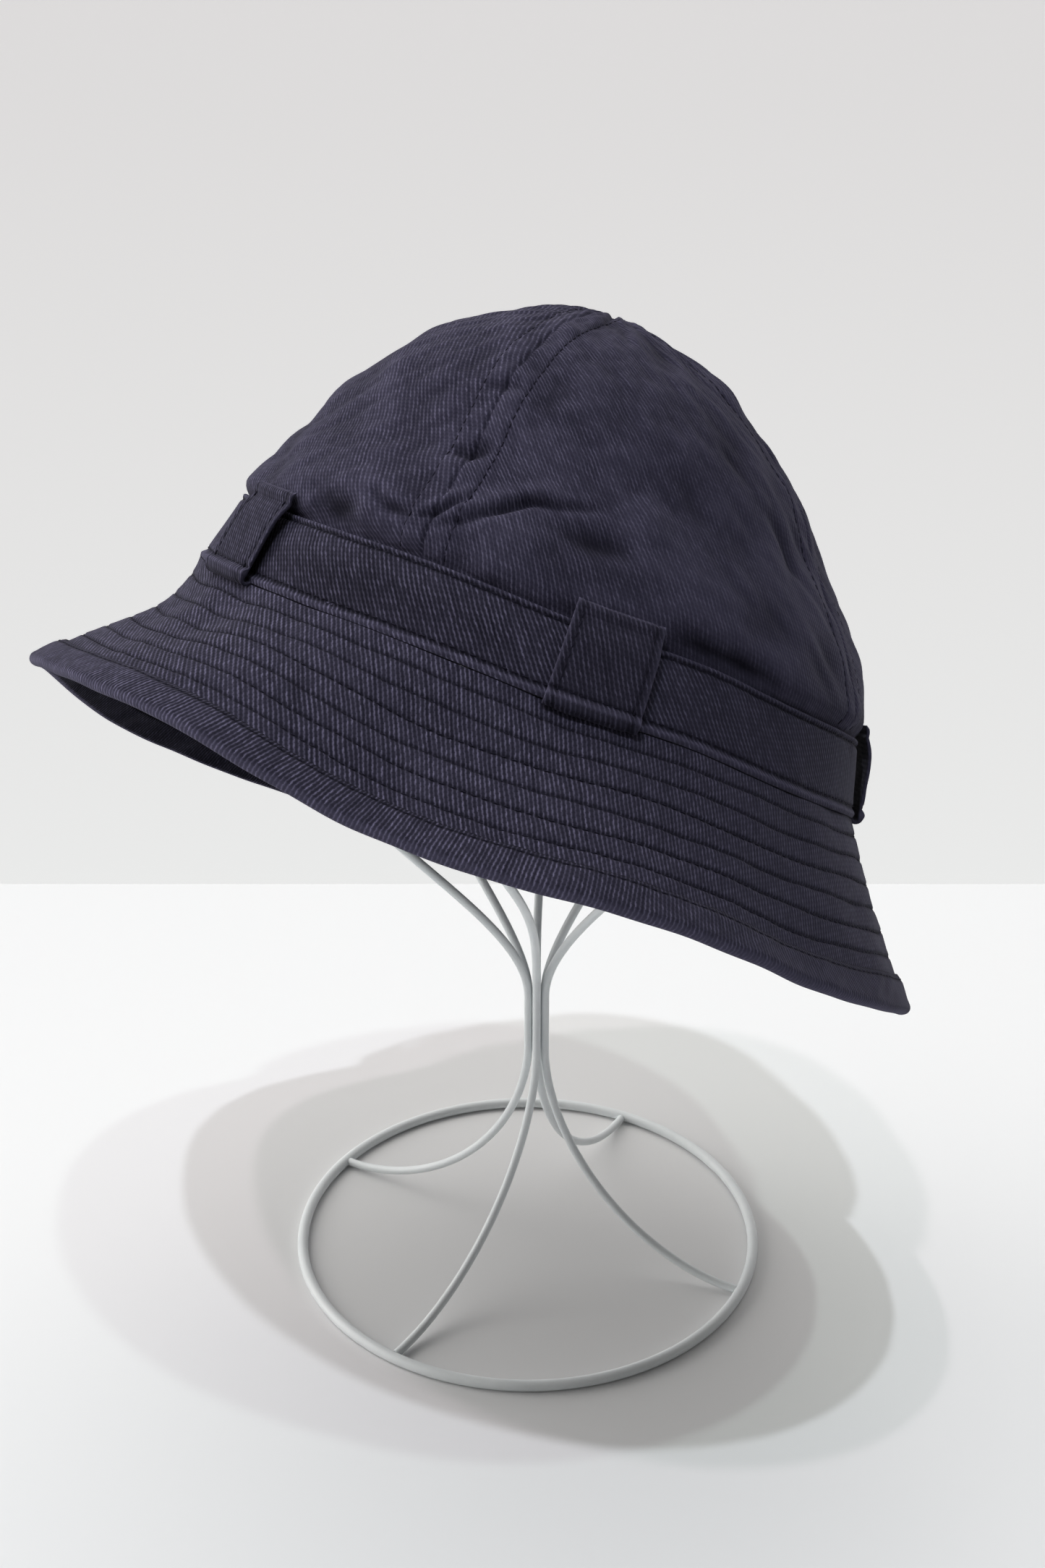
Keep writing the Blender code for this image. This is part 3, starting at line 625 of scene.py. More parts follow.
def sweep(name, points, weave, tone, look, ring=False):
    """A closed section carried along a piece: rows go round the section, columns along the
    piece. On a ring the last column lies on the first and is left out. The ends of any other
    piece are closed by joining each point of the section to the one opposite. Where weave has
    no row more than points, its first row closes it."""
    rows, columns = points.shape[:2]
    if len(weave) == rows:
        weave = np.concatenate([weave, weave[:1]])
    row, column = np.meshgrid(np.arange(rows), np.arange(columns - 1), indexing="ij")
    if ring:
        points, tone, columns = points[:, :-1], tone[:, :-1], columns - 1
    corner_row = np.stack([row, row, row + 1, row + 1], -1).reshape(-1, 4)
    corner_column = np.stack([column, column + 1, column + 1, column], -1).reshape(-1, 4)
    quads = (corner_row % rows) * columns + corner_column % columns
    corner_weave = weave[corner_row, corner_column]
    if not ring:
        half = np.arange(rows // 2 - 1)
        across = np.stack([half, half + 1, rows - 2 - half, rows - 1 - half], -1)
        for end, order in ((0, slice(None, None, -1)), (columns - 1, slice(None))):
            quads = np.concatenate([quads, across[:, order] * columns + end])
            corner_weave = np.concatenate([corner_weave, weave[across[:, order], end]])
    return lay_mesh(name, points.reshape(-1, 3), quads, corner_weave, tone.ravel(), look)


def steps_along(points, axis):
    """Distance run along an axis of a grid of points, from its first row or column."""
    length = np.linalg.norm(np.diff(points, axis=axis), axis=-1)
    first = np.zeros_like(np.take(length, [0], axis=axis))
    return np.concatenate([first, np.cumsum(length, axis=axis)], axis=axis)


def twill_place(across, along, turn):
    """Turns cloth lengths so that the twill's ribs run along the second one."""
    angle = math.radians(turn)
    return np.stack([across * math.cos(angle) + along * math.sin(angle),
                     along * math.cos(angle) - across * math.sin(angle)], -1)


def once_round(start):
    """A row of azimuths all round the hat. The last is a full turn from the first."""
    return (start + np.arange(AROUND_COLUMNS + 1) * 360.0 / AROUND_COLUMNS)[None, :]


def rounded_outline(count, half_width, half_height, width_power, height_power):
    """A superellipse: cosine and sine, each raised to a power with its sign kept."""
    angle = math.tau * (np.arange(count) + 0.5) / count
    cosine, sine = np.cos(angle), np.sin(angle)
    return (half_width * np.sign(cosine) * np.abs(cosine) ** width_power,
            half_height * np.sign(sine) * np.abs(sine) ** height_power)


def lay_threads(name, starts, ends, outs, look):
    """Threads from starts to ends: each a five-sided strand of four rings, humped along outs in
    the middle, its ends sunk in the cloth."""
    way = ends - starts
    side = unit(np.cross(unit(way), outs))
    out = np.cross(side, unit(way))
    angle = math.tau * np.arange(STRAND_SIDES) / STRAND_SIDES
    points = []
    for share, hump, breadth in STRAND_RINGS:
        middle = starts + way * share + out * THREAD * hump
        points += [middle + THREAD * breadth * (math.cos(turn) * side + math.sin(turn) * out)
                   for turn in angle]
    spin = np.arange(STRAND_SIDES)
    after = (spin + 1) % STRAND_SIDES
    faces = []
    for ring in range(len(STRAND_RINGS) - 1):
        low, high = STRAND_SIDES * ring, STRAND_SIDES * (ring + 1)
        faces += np.stack([low + spin, low + after, high + after, high + spin], -1).tolist()
    faces += [(-spin % STRAND_SIDES).tolist(), (high + spin).tolist()]
    base = len(points) * np.arange(len(starts))[:, None]
    corners = [row for face in faces for row in (base + np.array(face)).tolist()]
    mesh = bpy.data.meshes.new(name)
    mesh.from_pydata(np.stack(points, 1).reshape(-1, 3).tolist(), [], corners)
    mesh.shade_smooth()
    add_piece(name, mesh, look)


def sewn_row(place):
    """Cuts a line of points into stitches of about the stitch pitch. Returns starts and ends."""
    run = steps_along(place, 0)
    count = max(int(round(run[-1] / STITCH_PITCH)), 1)
    marks = run[-1] * np.arange(count) / count
    tail = marks + run[-1] / count * (1 - STITCH_GAP)
    return [np.stack([np.interp(at, run, place[:, axis]) for axis in range(3)], -1)
            for at in (marks, tail)]


def sewn_line(place, out):
    """Stitches along a line of points, each with the direction out of the cloth: that of the
    nearest point, or the one given for all."""
    start, end = sewn_row(place)
    nearest = np.linspace(0, len(place) - 1, len(start)).astype(int)
    return start, end, np.broadcast_to(out, place.shape)[nearest]


def sew(name, rows, look):
    """Lays rows of threads, given in the hat's own frame as starts, ends and directions out."""
    starts, ends, outs = map(np.concatenate, zip(*rows))
    lay_threads(name, on_stand(starts), on_stand(ends), outs @ HAT_TURN.T, look)


# Crown

def crown_run_table():
    """Length along the crown's outline from the band to the top, against the height share."""
    share = 1 - np.linspace(1, 0, 500) ** 2
    radius = crown_outline_radius(share)
    height = share * (CROWN_HEIGHT - BAND_HEIGHT)
    run = np.concatenate([[0], np.cumsum(np.hypot(np.diff(radius), np.diff(height)))])
    return share, run


RUN_SHARES, RUNS = crown_run_table()


def share_at(run):
    """The height share at a length run up the crown, straight between the table's rows."""
    return np.interp(run, RUNS, RUN_SHARES)


def seam_relief(away, run, seed):
    """Relief near a crown seam, away metres to its side and run metres up: a groove, the raised
    strips of turned-in cloth, the topstitches pressed into them, and puckers that die away."""
    side = np.abs(away)
    relief = -SEAM_DEPTH * bell(away / SEAM_HALF_WIDTH)
    relief = relief + ALLOWANCE_RISE * ramp((ALLOWANCE_WIDTH - side) / ALLOWANCE_EDGE)
    relief = relief - TOPSTITCH_DEPTH * bell((side - TOPSTITCH_OUT) / TOPSTITCH_HALF_WIDTH)
    wave = unevenness(0.35 * away + 0 * run, run + 0.4 * side, PUCKER_PITCH, seed, 5)
    strength = 0.55 + 0.45 * unevenness(0 * away, run, PUCKER_GROUP, seed + 3, 3)
    return relief + PUCKER_DEPTH * wave * strength * bell(away / PUCKER_HALF_WIDTH)


def crease_relief(azimuth, run):
    """Creases: each a valley along a smooth line with a softer ridge above and below it. The
    nearest of the line's samples gives how far along it and how far aside a point lies."""
    total = np.zeros(np.broadcast(azimuth, run).shape)
    marks = np.linspace(0, 1, CREASE_MARKS)
    for half_width, valley, above, below, places in CROWN_CREASES:
        places = np.array(places)
        share = np.linspace(0, 1, len(places))
        turn, height = (smooth(share, places[:, axis], marks) for axis in (0, 1))
        radius = crown_outline_radius(share_at(height.mean()))
        middle = turn.mean()
        line = np.stack([radius * np.radians(turn - middle), height], -1)
        across = radius * np.radians(turn_from(azimuth, middle))
        spot = np.stack(np.broadcast_arrays(across, run), -1)
        nearest = ((spot[..., None, :] - line) ** 2).sum(-1).argmin(-1)
        along = unit(np.gradient(line, axis=0))[nearest]
        step = spot - line[nearest]
        aside = (along[..., 0] * step[..., 1] - along[..., 1] * step[..., 0]) / half_width
        beyond = np.abs((along * step).sum(-1)) / (2 * half_width)
        fade = np.sin(math.pi * marks[nearest]) ** CREASE_FADE * bell(beyond)
        shape = above * bell((aside - RIDGE_OUT) / RIDGE_WIDTH)
        shape = shape + below * bell((aside + RIDGE_OUT) / RIDGE_WIDTH) - valley * bell(aside)
        total = total + fade * shape
    return total


def crown_relief(azimuth, run):
    """All relief of the crown's cloth, which dies away at the very top and under the band. The
    relief of each seam reaches halfway to the next one."""
    turn = azimuth - FIRST_SEAM_AZIMUTH + 0.5 * PANEL_TURN
    which = np.floor(np.mod(turn, 360.0) / PANEL_TURN)
    away = np.radians(np.mod(turn, PANEL_TURN) - 0.5 * PANEL_TURN)
    away = away * crown_outline_radius(share_at(run))
    relief = np.zeros(np.broadcast(azimuth, run).shape)
    for seam in range(PANELS):
        relief = relief + np.where(which == seam, seam_relief(away, run, seam + 1), 0.0)
    x = CRUMPLE_RADIUS * np.sin(np.radians(azimuth))
    y = CRUMPLE_RADIUS * np.cos(np.radians(azimuth))
    soft = unevenness(x + 0.3 * run, y + run, 2.6 * CRUMPLE_PITCH, 5)
    fine = unevenness(x + 0.2 * run, y - run, CRUMPLE_PITCH, 8)
    relief = relief + CRUMPLE * (1.7 * soft + 0.8 * fine) + crease_relief(azimuth, run)
    return relief * ramp((RUNS[-1] - run) / TOP_FADE) * ramp((run - FOOT_START) / FOOT_FADE)


def crown_face(azimuth, run):
    """Crown surface and its normal, which is the cross product of two central differences."""
    def plain(turn, length):
        return crown_points(turn, share_at(np.clip(length, 0, RUNS[-1])))
    across = plain(azimuth + CROWN_TURN_STEP, run) - plain(azimuth - CROWN_TURN_STEP, run)
    upward = plain(azimuth, run + CROWN_RUN_STEP) - plain(azimuth, run - CROWN_RUN_STEP)
    return plain(azimuth, run), unit(np.cross(across, upward))


def add_crown_panel(number, look, columns, rows):
    """A quarter of the crown. Columns gather towards the seams, halfway to as a cosine does;
    rows run up the outer face and back down the inner one."""
    even = np.linspace(0, 1, columns)
    share = number - 1 + 0.5 * even + 0.25 - 0.25 * np.cos(math.pi * even)
    azimuth = (FIRST_SEAM_AZIMUTH + share * PANEL_TURN)[None, :]
    run = np.linspace(0, RUNS[-1] - PANEL_TIP, rows)[:, None]
    foot = np.linspace(0, BAND_HEIGHT, PANEL_FOOT_ROWS + 1)[:-1, None]
    relief = crown_relief(azimuth, run)
    plain, normal = crown_face(azimuth, run)
    faces = []
    for lift in (0.0, -CROWN_WALL):
        lower = cone_points(azimuth, foot, CROWN_FOOT_RADIUS, lift)
        faces.append(np.concatenate([lower, plain + (relief + lift)[..., None] * normal]))
    points = np.concatenate([faces[0], faces[1][::-1]])
    length = np.concatenate([foot - BAND_HEIGHT, run])
    radius = crown_outline_radius(share_at(np.clip(length, 0, None)))
    across = radius * np.radians(azimuth - azimuth.mean())
    weave = twill_place(across, length + 0 * across, PANEL_TWILLS[number - 1])
    weave = np.concatenate([weave, weave[::-1]])
    relief = np.concatenate([0 * lower[..., 0], relief])
    # Tone: painted shade in the hollows of seams, creases, puckers and crumples; wear on raised
    # cloth
    tone = np.clip(relief / CROWN_SHADE_AND_WEAR_DEPTH, -1, CROWN_TONE_TOP)
    tone = np.concatenate([tone, 0 * tone])
    piece = sweep(f"sewn_panel_{number}", on_stand(points), weave, tone, look)
    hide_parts(f"crown_panel_{number}")


def add_crown_stitches(look):
    """A line of topstitching on both sides of each seam."""
    run = np.linspace(TOPSTITCH_START, RUNS[-1] - TOPSTITCH_STOP, 400)
    radius = crown_outline_radius(share_at(run))
    rows = []
    for seam in range(PANELS):
        for offset in (-TOPSTITCH_OUT, TOPSTITCH_OUT):
            azimuth = FIRST_SEAM_AZIMUTH + PANEL_TURN * seam + np.degrees(offset / radius)
            place, normal = crown_face(azimuth, run)
            relief = crown_relief(azimuth, run)[:, None]
            rows.append(sewn_line(place + relief * normal, normal))
    sew("crown_topstitching", rows, look)


# Band

def band_sewing(height):
    """The rolled lower edge, the crease above it, and the folded upper edge with its stitches."""
    fold = FOLD_RISE * ramp((height - BAND_STITCH_HEIGHT) / FOLD_STEP)
    return ridges(BAND_RIDGES, height) + fold


def band_relief(azimuth, height):
    """The sewn lines, the tugs beside them, and bell-shaped swells of the whole band."""
    arc = BAND_FOOT_RADIUS * np.radians(azimuth)
    tugs = ridges(BAND_TUGS, height) * unevenness(arc, 0.6 * height, 0.0075, 2, 5)
    soft = 0.00016 * unevenness(arc, height, 0.030, 6, 6)
    return band_sewing(height) + swells(BAND_SWELLS, azimuth, height / BAND_HEIGHT) + tugs + soft


def add_band(look):
    """The band's section: up its outer face, round the folded top and down the inner face."""
    azimuth = once_round(0.0)
    edge = 0.5 * BAND_WALL
    outer = np.concatenate([[0.0], np.linspace(0.0003, BAND_HEIGHT - edge, 70)])[:, None]
    inner = np.linspace(BAND_HEIGHT - edge, 0.0, 8)[:, None]
    turn = np.radians(np.array([30.0, 60.0, 90.0, 120.0, 150.0]))[:, None]
    height = np.concatenate([outer, BAND_HEIGHT - edge + edge * np.sin(turn), inner])
    raised = np.concatenate([0 * outer, -edge + edge * np.cos(turn), 0 * inner - BAND_WALL])
    share = np.concatenate([0 * outer + 1, 0.5 + 0.5 * np.cos(turn), 0 * inner])
    relief = share * band_relief(azimuth, height)
    points = cone_points(azimuth, height, BAND_FOOT_RADIUS, raised + relief)
    arc = BAND_FOOT_RADIUS * np.radians(azimuth)
    around = np.concatenate([outer, BAND_HEIGHT - edge + edge * turn, 2 * BAND_HEIGHT - inner])
    weave = twill_place(arc + 0 * around, around + 0 * arc, BAND_TWILL)
    # Painted shade in the band's grooves and on its front left, wear on its cord and folded edge
    tone = np.clip(band_sewing(height) / BAND_SHADE_AND_WEAR_DEPTH, *BAND_SHADE_AND_WEAR_RANGE)
    tone = share * (tone + swells(BAND_PAINTED_SHADES, azimuth, height / BAND_HEIGHT))
    piece = sweep("hat_band", on_stand(points), weave, tone, look, ring=True)
    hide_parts("crown_band")


def add_band_stitches(look):
    """A row beneath the folded edge and one above the rolled edge."""
    azimuth = np.linspace(0, 360, 1441)
    rows = []
    for height in (BAND_STITCH_HEIGHT, CORD_STITCH_HEIGHT):
        place = cone_points(azimuth, height, BAND_FOOT_RADIUS, band_relief(azimuth, height))
        start, end = sewn_row(place)
        x, y = outward(np.linspace(0, 360, len(start), endpoint=False))
        out = np.stack([x * math.cos(BAND_LEAN), y * math.cos(BAND_LEAN),
                        0 * x + math.sin(BAND_LEAN)], -1)
        rows.append((start, end, out))
    sew("band_topstitching", rows, look)


# Brim

def brim_arc(azimuth, slant):
    """Length of cloth round the brim from azimuth 0, at a slant."""
    return (BAND_FOOT_RADIUS + BRIM_SPREAD * slant) * np.radians(azimuth)


def row_slant(number, azimuth):
    """How far out a row of stitches runs: its even place and a slight wander."""
    around = np.radians(azimuth)
    wander = np.sin(8 * around + 1.7 * number) + 0.6 * np.sin(19 * around + 2.9 * number)
    return ROW_START + ROW_PITCH * number + ROW_WANDER * wander


def brim_rows(azimuth):
    """Slants of the upper face's rows of points: close together along each row of stitches,
    and evenly spread before, between and beyond them."""
    rows = [slant + 0 * azimuth for slant in ROWS_BEFORE]
    for number in range(ROWS):
        offsets = ROWS_NEAR + (ROWS_BETWEEN if number < ROWS - 1 else ())
        rows += [row_slant(number, azimuth) + offset for offset in offsets]
    last = ROW_START + ROW_PITCH * (ROWS - 1)
    beyond = np.linspace(last + BEYOND_START, BRIM_END, ROWS_BEYOND)
    rows += [slant + 0 * azimuth for slant in beyond]
    return np.concatenate(rows)


def row_mask(azimuth, slant):
    """1 on a row of stitches, 0 away from it."""
    return sum(bell((slant - row_slant(number, azimuth)) / (1.1 * ROW_HALF_WIDTH))
               for number in range(ROWS))


def brim_sewing(azimuth, slant):
    """The cloth is drawn in along each row of stitches. Each stitch pulls a dimple, and a wider
    tug runs across the strips."""
    arc = brim_arc(azimuth, slant)
    relief = 0 * arc
    for number in range(ROWS):
        away = (slant - row_slant(number, azimuth)) / ROW_HALF_WIDTH
        dimple = STITCH_PULL * np.cos(math.tau * arc / STITCH_PITCH + 1.3 * number)
        tug = ROW_TUG * unevenness(arc, slant, ROW_TUG_PITCH, number + 2, 4)
        relief = relief - (ROW_DEPTH + dimple) * bell(away) + tug * bell(away / ROW_TUG_REACH)
    return relief


def brim_fold(azimuth, slant):
    """Folds of the whole brim and its edge: bell-shaped swells, and a slow unevenness."""
    slow = 0.00016 * unevenness(brim_arc(azimuth, slant), slant, 0.022, 4, 7)
    return slow + swells(BRIM_SWELLS, azimuth, slant)


def brim_lifts(azimuth, slant):
    """Lift of the brim's upper face and of its lower one."""
    sewing, fold = brim_sewing(azimuth, slant), brim_fold(azimuth, slant)
    return sewing + fold, fold - BRIM_WALL - LOWER_SEWING * sewing


def flat_brim(azimuth, slant):
    """The brim laid flat as a ring: its radius grows with the slant, and its turn is less than
    the azimuth's by the share that a cone of this slope takes."""
    share = math.cos(math.radians(BRIM_CONE))
    radius = BAND_FOOT_RADIUS / share + slant
    turn = share * np.radians(azimuth)
    return radius * np.sin(turn), -radius * np.cos(turn)


def add_brim(look):
    """The brim's section: out along its upper face to inside the binding and back beneath.
    Slants below 0 run level, under the band."""
    azimuth = once_round(-180.0)
    upper = brim_rows(azimuth)
    under = np.concatenate([np.linspace(BRIM_END, 0.0, 26), ROWS_BEFORE[:1]])[:, None]
    slant = np.concatenate([upper, under + 0 * azimuth])
    above = (np.arange(len(slant)) < len(upper))[:, None]
    lift = np.where(above, *brim_lifts(azimuth, np.clip(slant, 0, None)))
    points = brim_points(azimuth, np.clip(slant, 0, None), lift)
    margin = np.clip(-slant, 0, None)
    x, y = outward(azimuth)
    points = points - np.stack([margin * x, margin * y, 0 * margin * x], -1)
    across, along = flat_brim(azimuth, slant)
    weave = twill_place(across, -along, BRIM_TWILL)
    # Painted shade along the rows of stitches above, and over the whole underside
    tone = np.where(above, ROW_PAINTED_SHADE * row_mask(azimuth, slant), UNDERSIDE_PAINTED_SHADE)
    piece = sweep("stitched_brim", on_stand(points), weave, tone, look, ring=True)
    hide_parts("brim")


def both_faces(azimuth, slant, upper, lower):
    """Rows of stitches along the brim's upper and lower face, lifted so far off the plain brim.
    Out of the cloth is the way to a point lifted further still."""
    rows = []
    for lift, side in ((upper, 1.0), (lower, -1.0)):
        place = brim_points(azimuth, slant, lift)[0]
        rows.append(sewn_line(place, brim_points(azimuth, slant, lift + side)[0] - place))
    return rows


def add_brim_stitches(look):
    """Every row of stitches, on both faces of the brim."""
    rows = []
    for number in range(ROWS):
        slant = row_slant(number, SEWN_AZIMUTHS)
        rows += both_faces(SEWN_AZIMUTHS, slant, *brim_lifts(SEWN_AZIMUTHS, slant))
    sew("brim_stitching", rows, look)


# Binding

def folded_strip(radius, side_count, fold_count):
    """Slant and lift along a strip folded round the brim's edge: beneath, round, and above."""
    end = BRIM_SLANT - 0.5 * BRIM_WALL - CLOTH_GAP - BINDING_WALL
    side = np.linspace(BINDING_START, end, side_count)
    turn = np.radians(np.linspace(-90, 90, fold_count + 2)[1:-1])
    slant = np.concatenate([side, end + radius * np.cos(turn), side[::-1]])
    lift = np.concatenate([0 * side - radius, radius * np.sin(turn), 0 * side + radius])
    return slant, lift


def binding_section():
    """The folded strip's outer face, then back along its inner one. outside is -1 on the
    outer face beneath, 1 on the outer face above, and 0 elsewhere."""
    radius = 0.5 * BRIM_WALL + CLOTH_GAP + BINDING_WALL
    slant, lift = folded_strip(radius, 24, 11)
    inner_slant, inner_lift = folded_strip(radius - BINDING_WALL, 6, 5)
    outside = np.sign(lift) * (np.abs(lift) > 0.9 * radius)
    outside = np.concatenate([outside, 0 * inner_lift])
    slant = np.concatenate([slant, inner_slant[::-1]])
    lift = np.concatenate([lift, inner_lift[::-1]]) - 0.5 * BRIM_WALL
    return slant[:, None], lift[:, None], outside[:, None]


def binding_relief(azimuth, slant):
    """Bias cloth ripples aslant across the strip; its stitches press a line near its edge."""
    inward = slant - BINDING_START
    ripple = unevenness(brim_arc(azimuth, slant) + 0.7 * inward, 0.25 * inward, 0.0062, 7, 5)
    return ridges(BINDING_RIDGES, inward) + 0.00008 * ripple


def add_binding(look):
    """The binding's section folds round the brim's edge and follows its folds."""
    azimuth = once_round(-180.0)
    slant, lift, outside = binding_section()
    relief = outside * binding_relief(azimuth, slant) + brim_fold(azimuth, slant)
    points = brim_points(azimuth, slant, lift + relief)
    arc = brim_arc(azimuth, BRIM_SLANT)
    around = steps_along(np.stack([slant[:, 0], lift[:, 0]], -1), 0)[:, None]
    weave = twill_place(arc + 0 * around, around + 0 * arc, BINDING_TWILL)
    # Painted shade in the grooves and on the underside, wear at the hem
    grooves = np.abs(outside) * ridges(BINDING_GROOVE_SHADES, slant - BINDING_START)
    tone = ridges(BINDING_WEAR, slant) + grooves + UNDERSIDE_PAINTED_SHADE * (outside < 0) + 0 * azimuth
    piece = sweep("edge_binding", on_stand(points), weave, tone, look, ring=True)
    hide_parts("brim_binding")


def add_binding_stitches(look):
    """A row near the binding's inner edge, on both faces."""
    slant = BINDING_START + BINDING_STITCH_IN + 0 * SEWN_AZIMUTHS
    raised = CLOTH_GAP + BINDING_WALL + binding_relief(SEWN_AZIMUTHS, slant)
    fold = brim_fold(SEWN_AZIMUTHS, slant)
    rows = both_faces(SEWN_AZIMUTHS, slant, fold + raised, fold - BRIM_WALL - raised)
    sew("binding_stitching", rows, look)


# Strap loops

def loop_line(count):
    """Height and reach along a strap's face, evenly spaced from the rolled end to the top."""
    middle = CLOTH_GAP + LOOP_ROLL
    turn = np.linspace(0, math.pi, 7)
    path = np.array(LOOP_PATH)[::-1]
    height = np.concatenate([[LOOP_ROLL], LOOP_LIFT - LOOP_ROLL * np.sin(turn),
                             path[:, 0] * LOOP_LENGTH])
    reach = np.concatenate([[CLOTH_GAP], middle - LOOP_ROLL * np.cos(turn),
                            path[:, 1] * LOOP_REACH])
    run = steps_along(np.stack([height, reach], -1), 0)
    marks = np.linspace(0, run[-1], count)
    return smooth(run, height, marks), smooth(run, reach, marks), marks


def backing_radius(azimuth, height):
    """How far the band, or the crown where it swells past it, comes out at a height."""
    band = BAND_FOOT_RADIUS - BAND_INSET * height / BAND_HEIGHT + seam_reach(azimuth)
    share = np.clip((height - BAND_HEIGHT) / (CROWN_HEIGHT - BAND_HEIGHT), 0, 1)
    crown = crown_points(azimuth, share)
    swollen = np.hypot(crown[..., 0], crown[..., 1]) + CLOTH_GAP
    return np.where(height > BAND_HEIGHT, np.maximum(band, swollen), band)


def strap_relief(side, edge, height, run, seed):
    """Relief of a strap's outer face: its sewn edges, its rolled end and a slight waviness."""
    wave = 0.00010 * unevenness(side, run, 0.010, seed, 5)
    roll = ridges(ROLL_RIDGES, height) * ramp((run - ROLL_START) / ROLL_STEP)
    return ridges(STRAP_RIDGES, edge) + wave + roll


def strap_tone(edge, height, run, outside):
    """A strap is worn pale along its edges and its top; its rolled end is worn pale and carries a
    painted highlight on its upper side, and its stitch grooves carry painted shade.
    """
    wear = bell(edge / STRAP_WEAR_WIDTH) + bell((run[-1] - run) / TIP_WEAR_WIDTH)
    roll = bell((run - ROLL_CREST) / ROLL_WEAR_AND_HIGHLIGHT_WIDTH)
    groove = ridges(STRAP_GROOVE_SHADES, edge) + ridges(ROLL_GROOVE_SHADES, height)
    return STRAP_WEAR_TONE * wear + ROLL_WEAR_AND_HIGHLIGHT_TONE * roll + np.where(outside, groove, 0.0)


def strap_stitches(number, points, side, outside, height, run, out, look):
    """A row along each long edge, from above the rolled end, and one across the rolled end."""
    half = 0.5 * LOOP_WIDTH - LOOP_STITCH_IN
    upper = side[:STRAP_OUTLINE // 2]
    rows = [sewn_line(points[np.argmin(np.abs(upper - place)), STITCHED_FROM:], out)
            for place in (half, -half)]
    level = np.argmin(np.abs(height - ROLL_STITCH) + (run < ROLL_START))
    inner = outside & (0.5 * LOOP_WIDTH - np.abs(side) > LOOP_STITCH_IN)
    across = points[inner, level]
    rows.append(sewn_line(across[np.argsort(side[inner])], out))
    sew(f"strap_stitching_{number}", rows, look)


def add_loop(number, middle, look, thread):
    """A strap: a flat section with round edges carried along the loop's line."""
    height, reach, run = loop_line(STRAP_COLUMNS)
    half = 0.5 * LOOP_THICKNESS
    section = rounded_outline(STRAP_OUTLINE, 0.5 * LOOP_WIDTH, half, *STRAP_POWERS)
    side, thick = (part[:, None] for part in section)
    outside = thick > 0
    edge = 0.5 * LOOP_WIDTH - np.abs(side)
    azimuth = middle + np.degrees(side / BAND_FOOT_RADIUS) + 0 * run
    sag = STRAP_SAG * bell(side / STRAP_SAG_SIZE)
    sag = sag * bell((height - STRAP_SAG_HEIGHT) / STRAP_SAG_SIZE)
    tight = ramp((run[-1] - run) / STRAP_TIP) * (1 - STRAP_TIP_SHARE) + STRAP_TIP_SHARE
    relief = strap_relief(side, edge, height, run, number + 2)
    lift = thick * tight + np.where(outside, relief, 0.0) + sag
    radius = backing_radius(azimuth, height[None, :]) + reach - half
    rise = seam_rise(azimuth) + height
    slope_out, slope_up = np.gradient(radius, axis=1), np.gradient(rise, axis=1)
    length = np.hypot(slope_out, slope_up)
    radius = radius + lift * slope_up / length
    rise = rise - lift * slope_out / length
    x, y = outward(azimuth)
    points = np.stack([radius * x, radius * y, rise], -1)
    around = np.cumsum(np.abs(np.diff(side[:, 0], prepend=side[-1, 0])))[:, None]
    weave = twill_place(-around + 0 * run, run + 0 * around, STRAP_TWILL)
    tone = strap_tone(edge, height, run, outside)
    piece = sweep(f"strap_{number}", on_stand(points), weave, tone, look)
    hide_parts(f"band_loop_{number}")
    foremost = np.argmax(thick[:, 0])
    out = np.array([x[foremost, 0], y[foremost, 0], STRAP_OUT_RISE])
    strap_stitches(number, points, side[:, 0], outside[:, 0], height, run, out, thread)


# Stand

RING_RADIUS = 0.0723
RING_WIRE = 0.0034
RIB_WIRE = 0.0026
LEG_HEIGHT = 0.0728
FOOT_INSET = 0.42 * RING_WIRE  # of a leg's foot from the middle of the ring's wire
WAIST_LENGTH = 0.0192
WAIST_OFFSET = np.array([0.0026, -0.0011])
BALL_RADIUS = 0.075
BALL_HEIGHT = 0.2146
BALL_START = -25.0
FLARE_PULL = 0.080
LEG_FULLNESS = 1.1
WIRE_GAP = 0.0003
ARCH_TURN_START = 65.0
ARCH_TURN_SPAN = 50.0
REFERENCE_LEAN = 0.02          # tips a rib's fixed direction off the level

STAND_WIRES = (
    # name, (waist, ball, foot) of one end, of the other end
    ("stand_wire_1", (150.0, 135.0, 148.0), (330.0, 300.0, 336.0)),
    ("stand_wire_2", (90.0, 75.0, 62.5), (270.0, 255.0, 236.0)),
    ("stand_wire_3", (210.0, 190.0, None), (30.0, 35.0, None)),
)


def polar(azimuth, radius):
    """x and y at a radius: its cosine and sine shares, turned from +X to +Y."""
    angle = np.radians(azimuth)
    return np.stack([radius * np.cos(angle), radius * np.sin(angle)], -1)


def waist_radius():
    """The wires pass the waist side by side: half their pitch over the sine of half the
    angle between two neighbours."""
    return (RIB_WIRE + WIRE_GAP) / (2 * math.sin(math.pi / (2 * len(STAND_WIRES))))


def leg_line(waist_azimuth, foot_azimuth):
    """From the ring to the waist: nearly a quarter of an ellipse."""
    foot = polar(foot_azimuth, RING_RADIUS - FOOT_INSET)
    waist = WAIST_OFFSET + polar(waist_azimuth, waist_radius())
    turn = 0.5 * math.pi * np.linspace(0, 1, 60)[:-1]
    inward = np.sin(turn)[:, None] ** LEG_FULLNESS
    rise = 1 - np.cos(turn)[:, None] ** LEG_FULLNESS
    height = 0.5 * RING_WIRE + (LEG_HEIGHT - 0.5 * RING_WIRE) * rise
    return np.concatenate([foot + (waist - foot) * inward, height], -1)


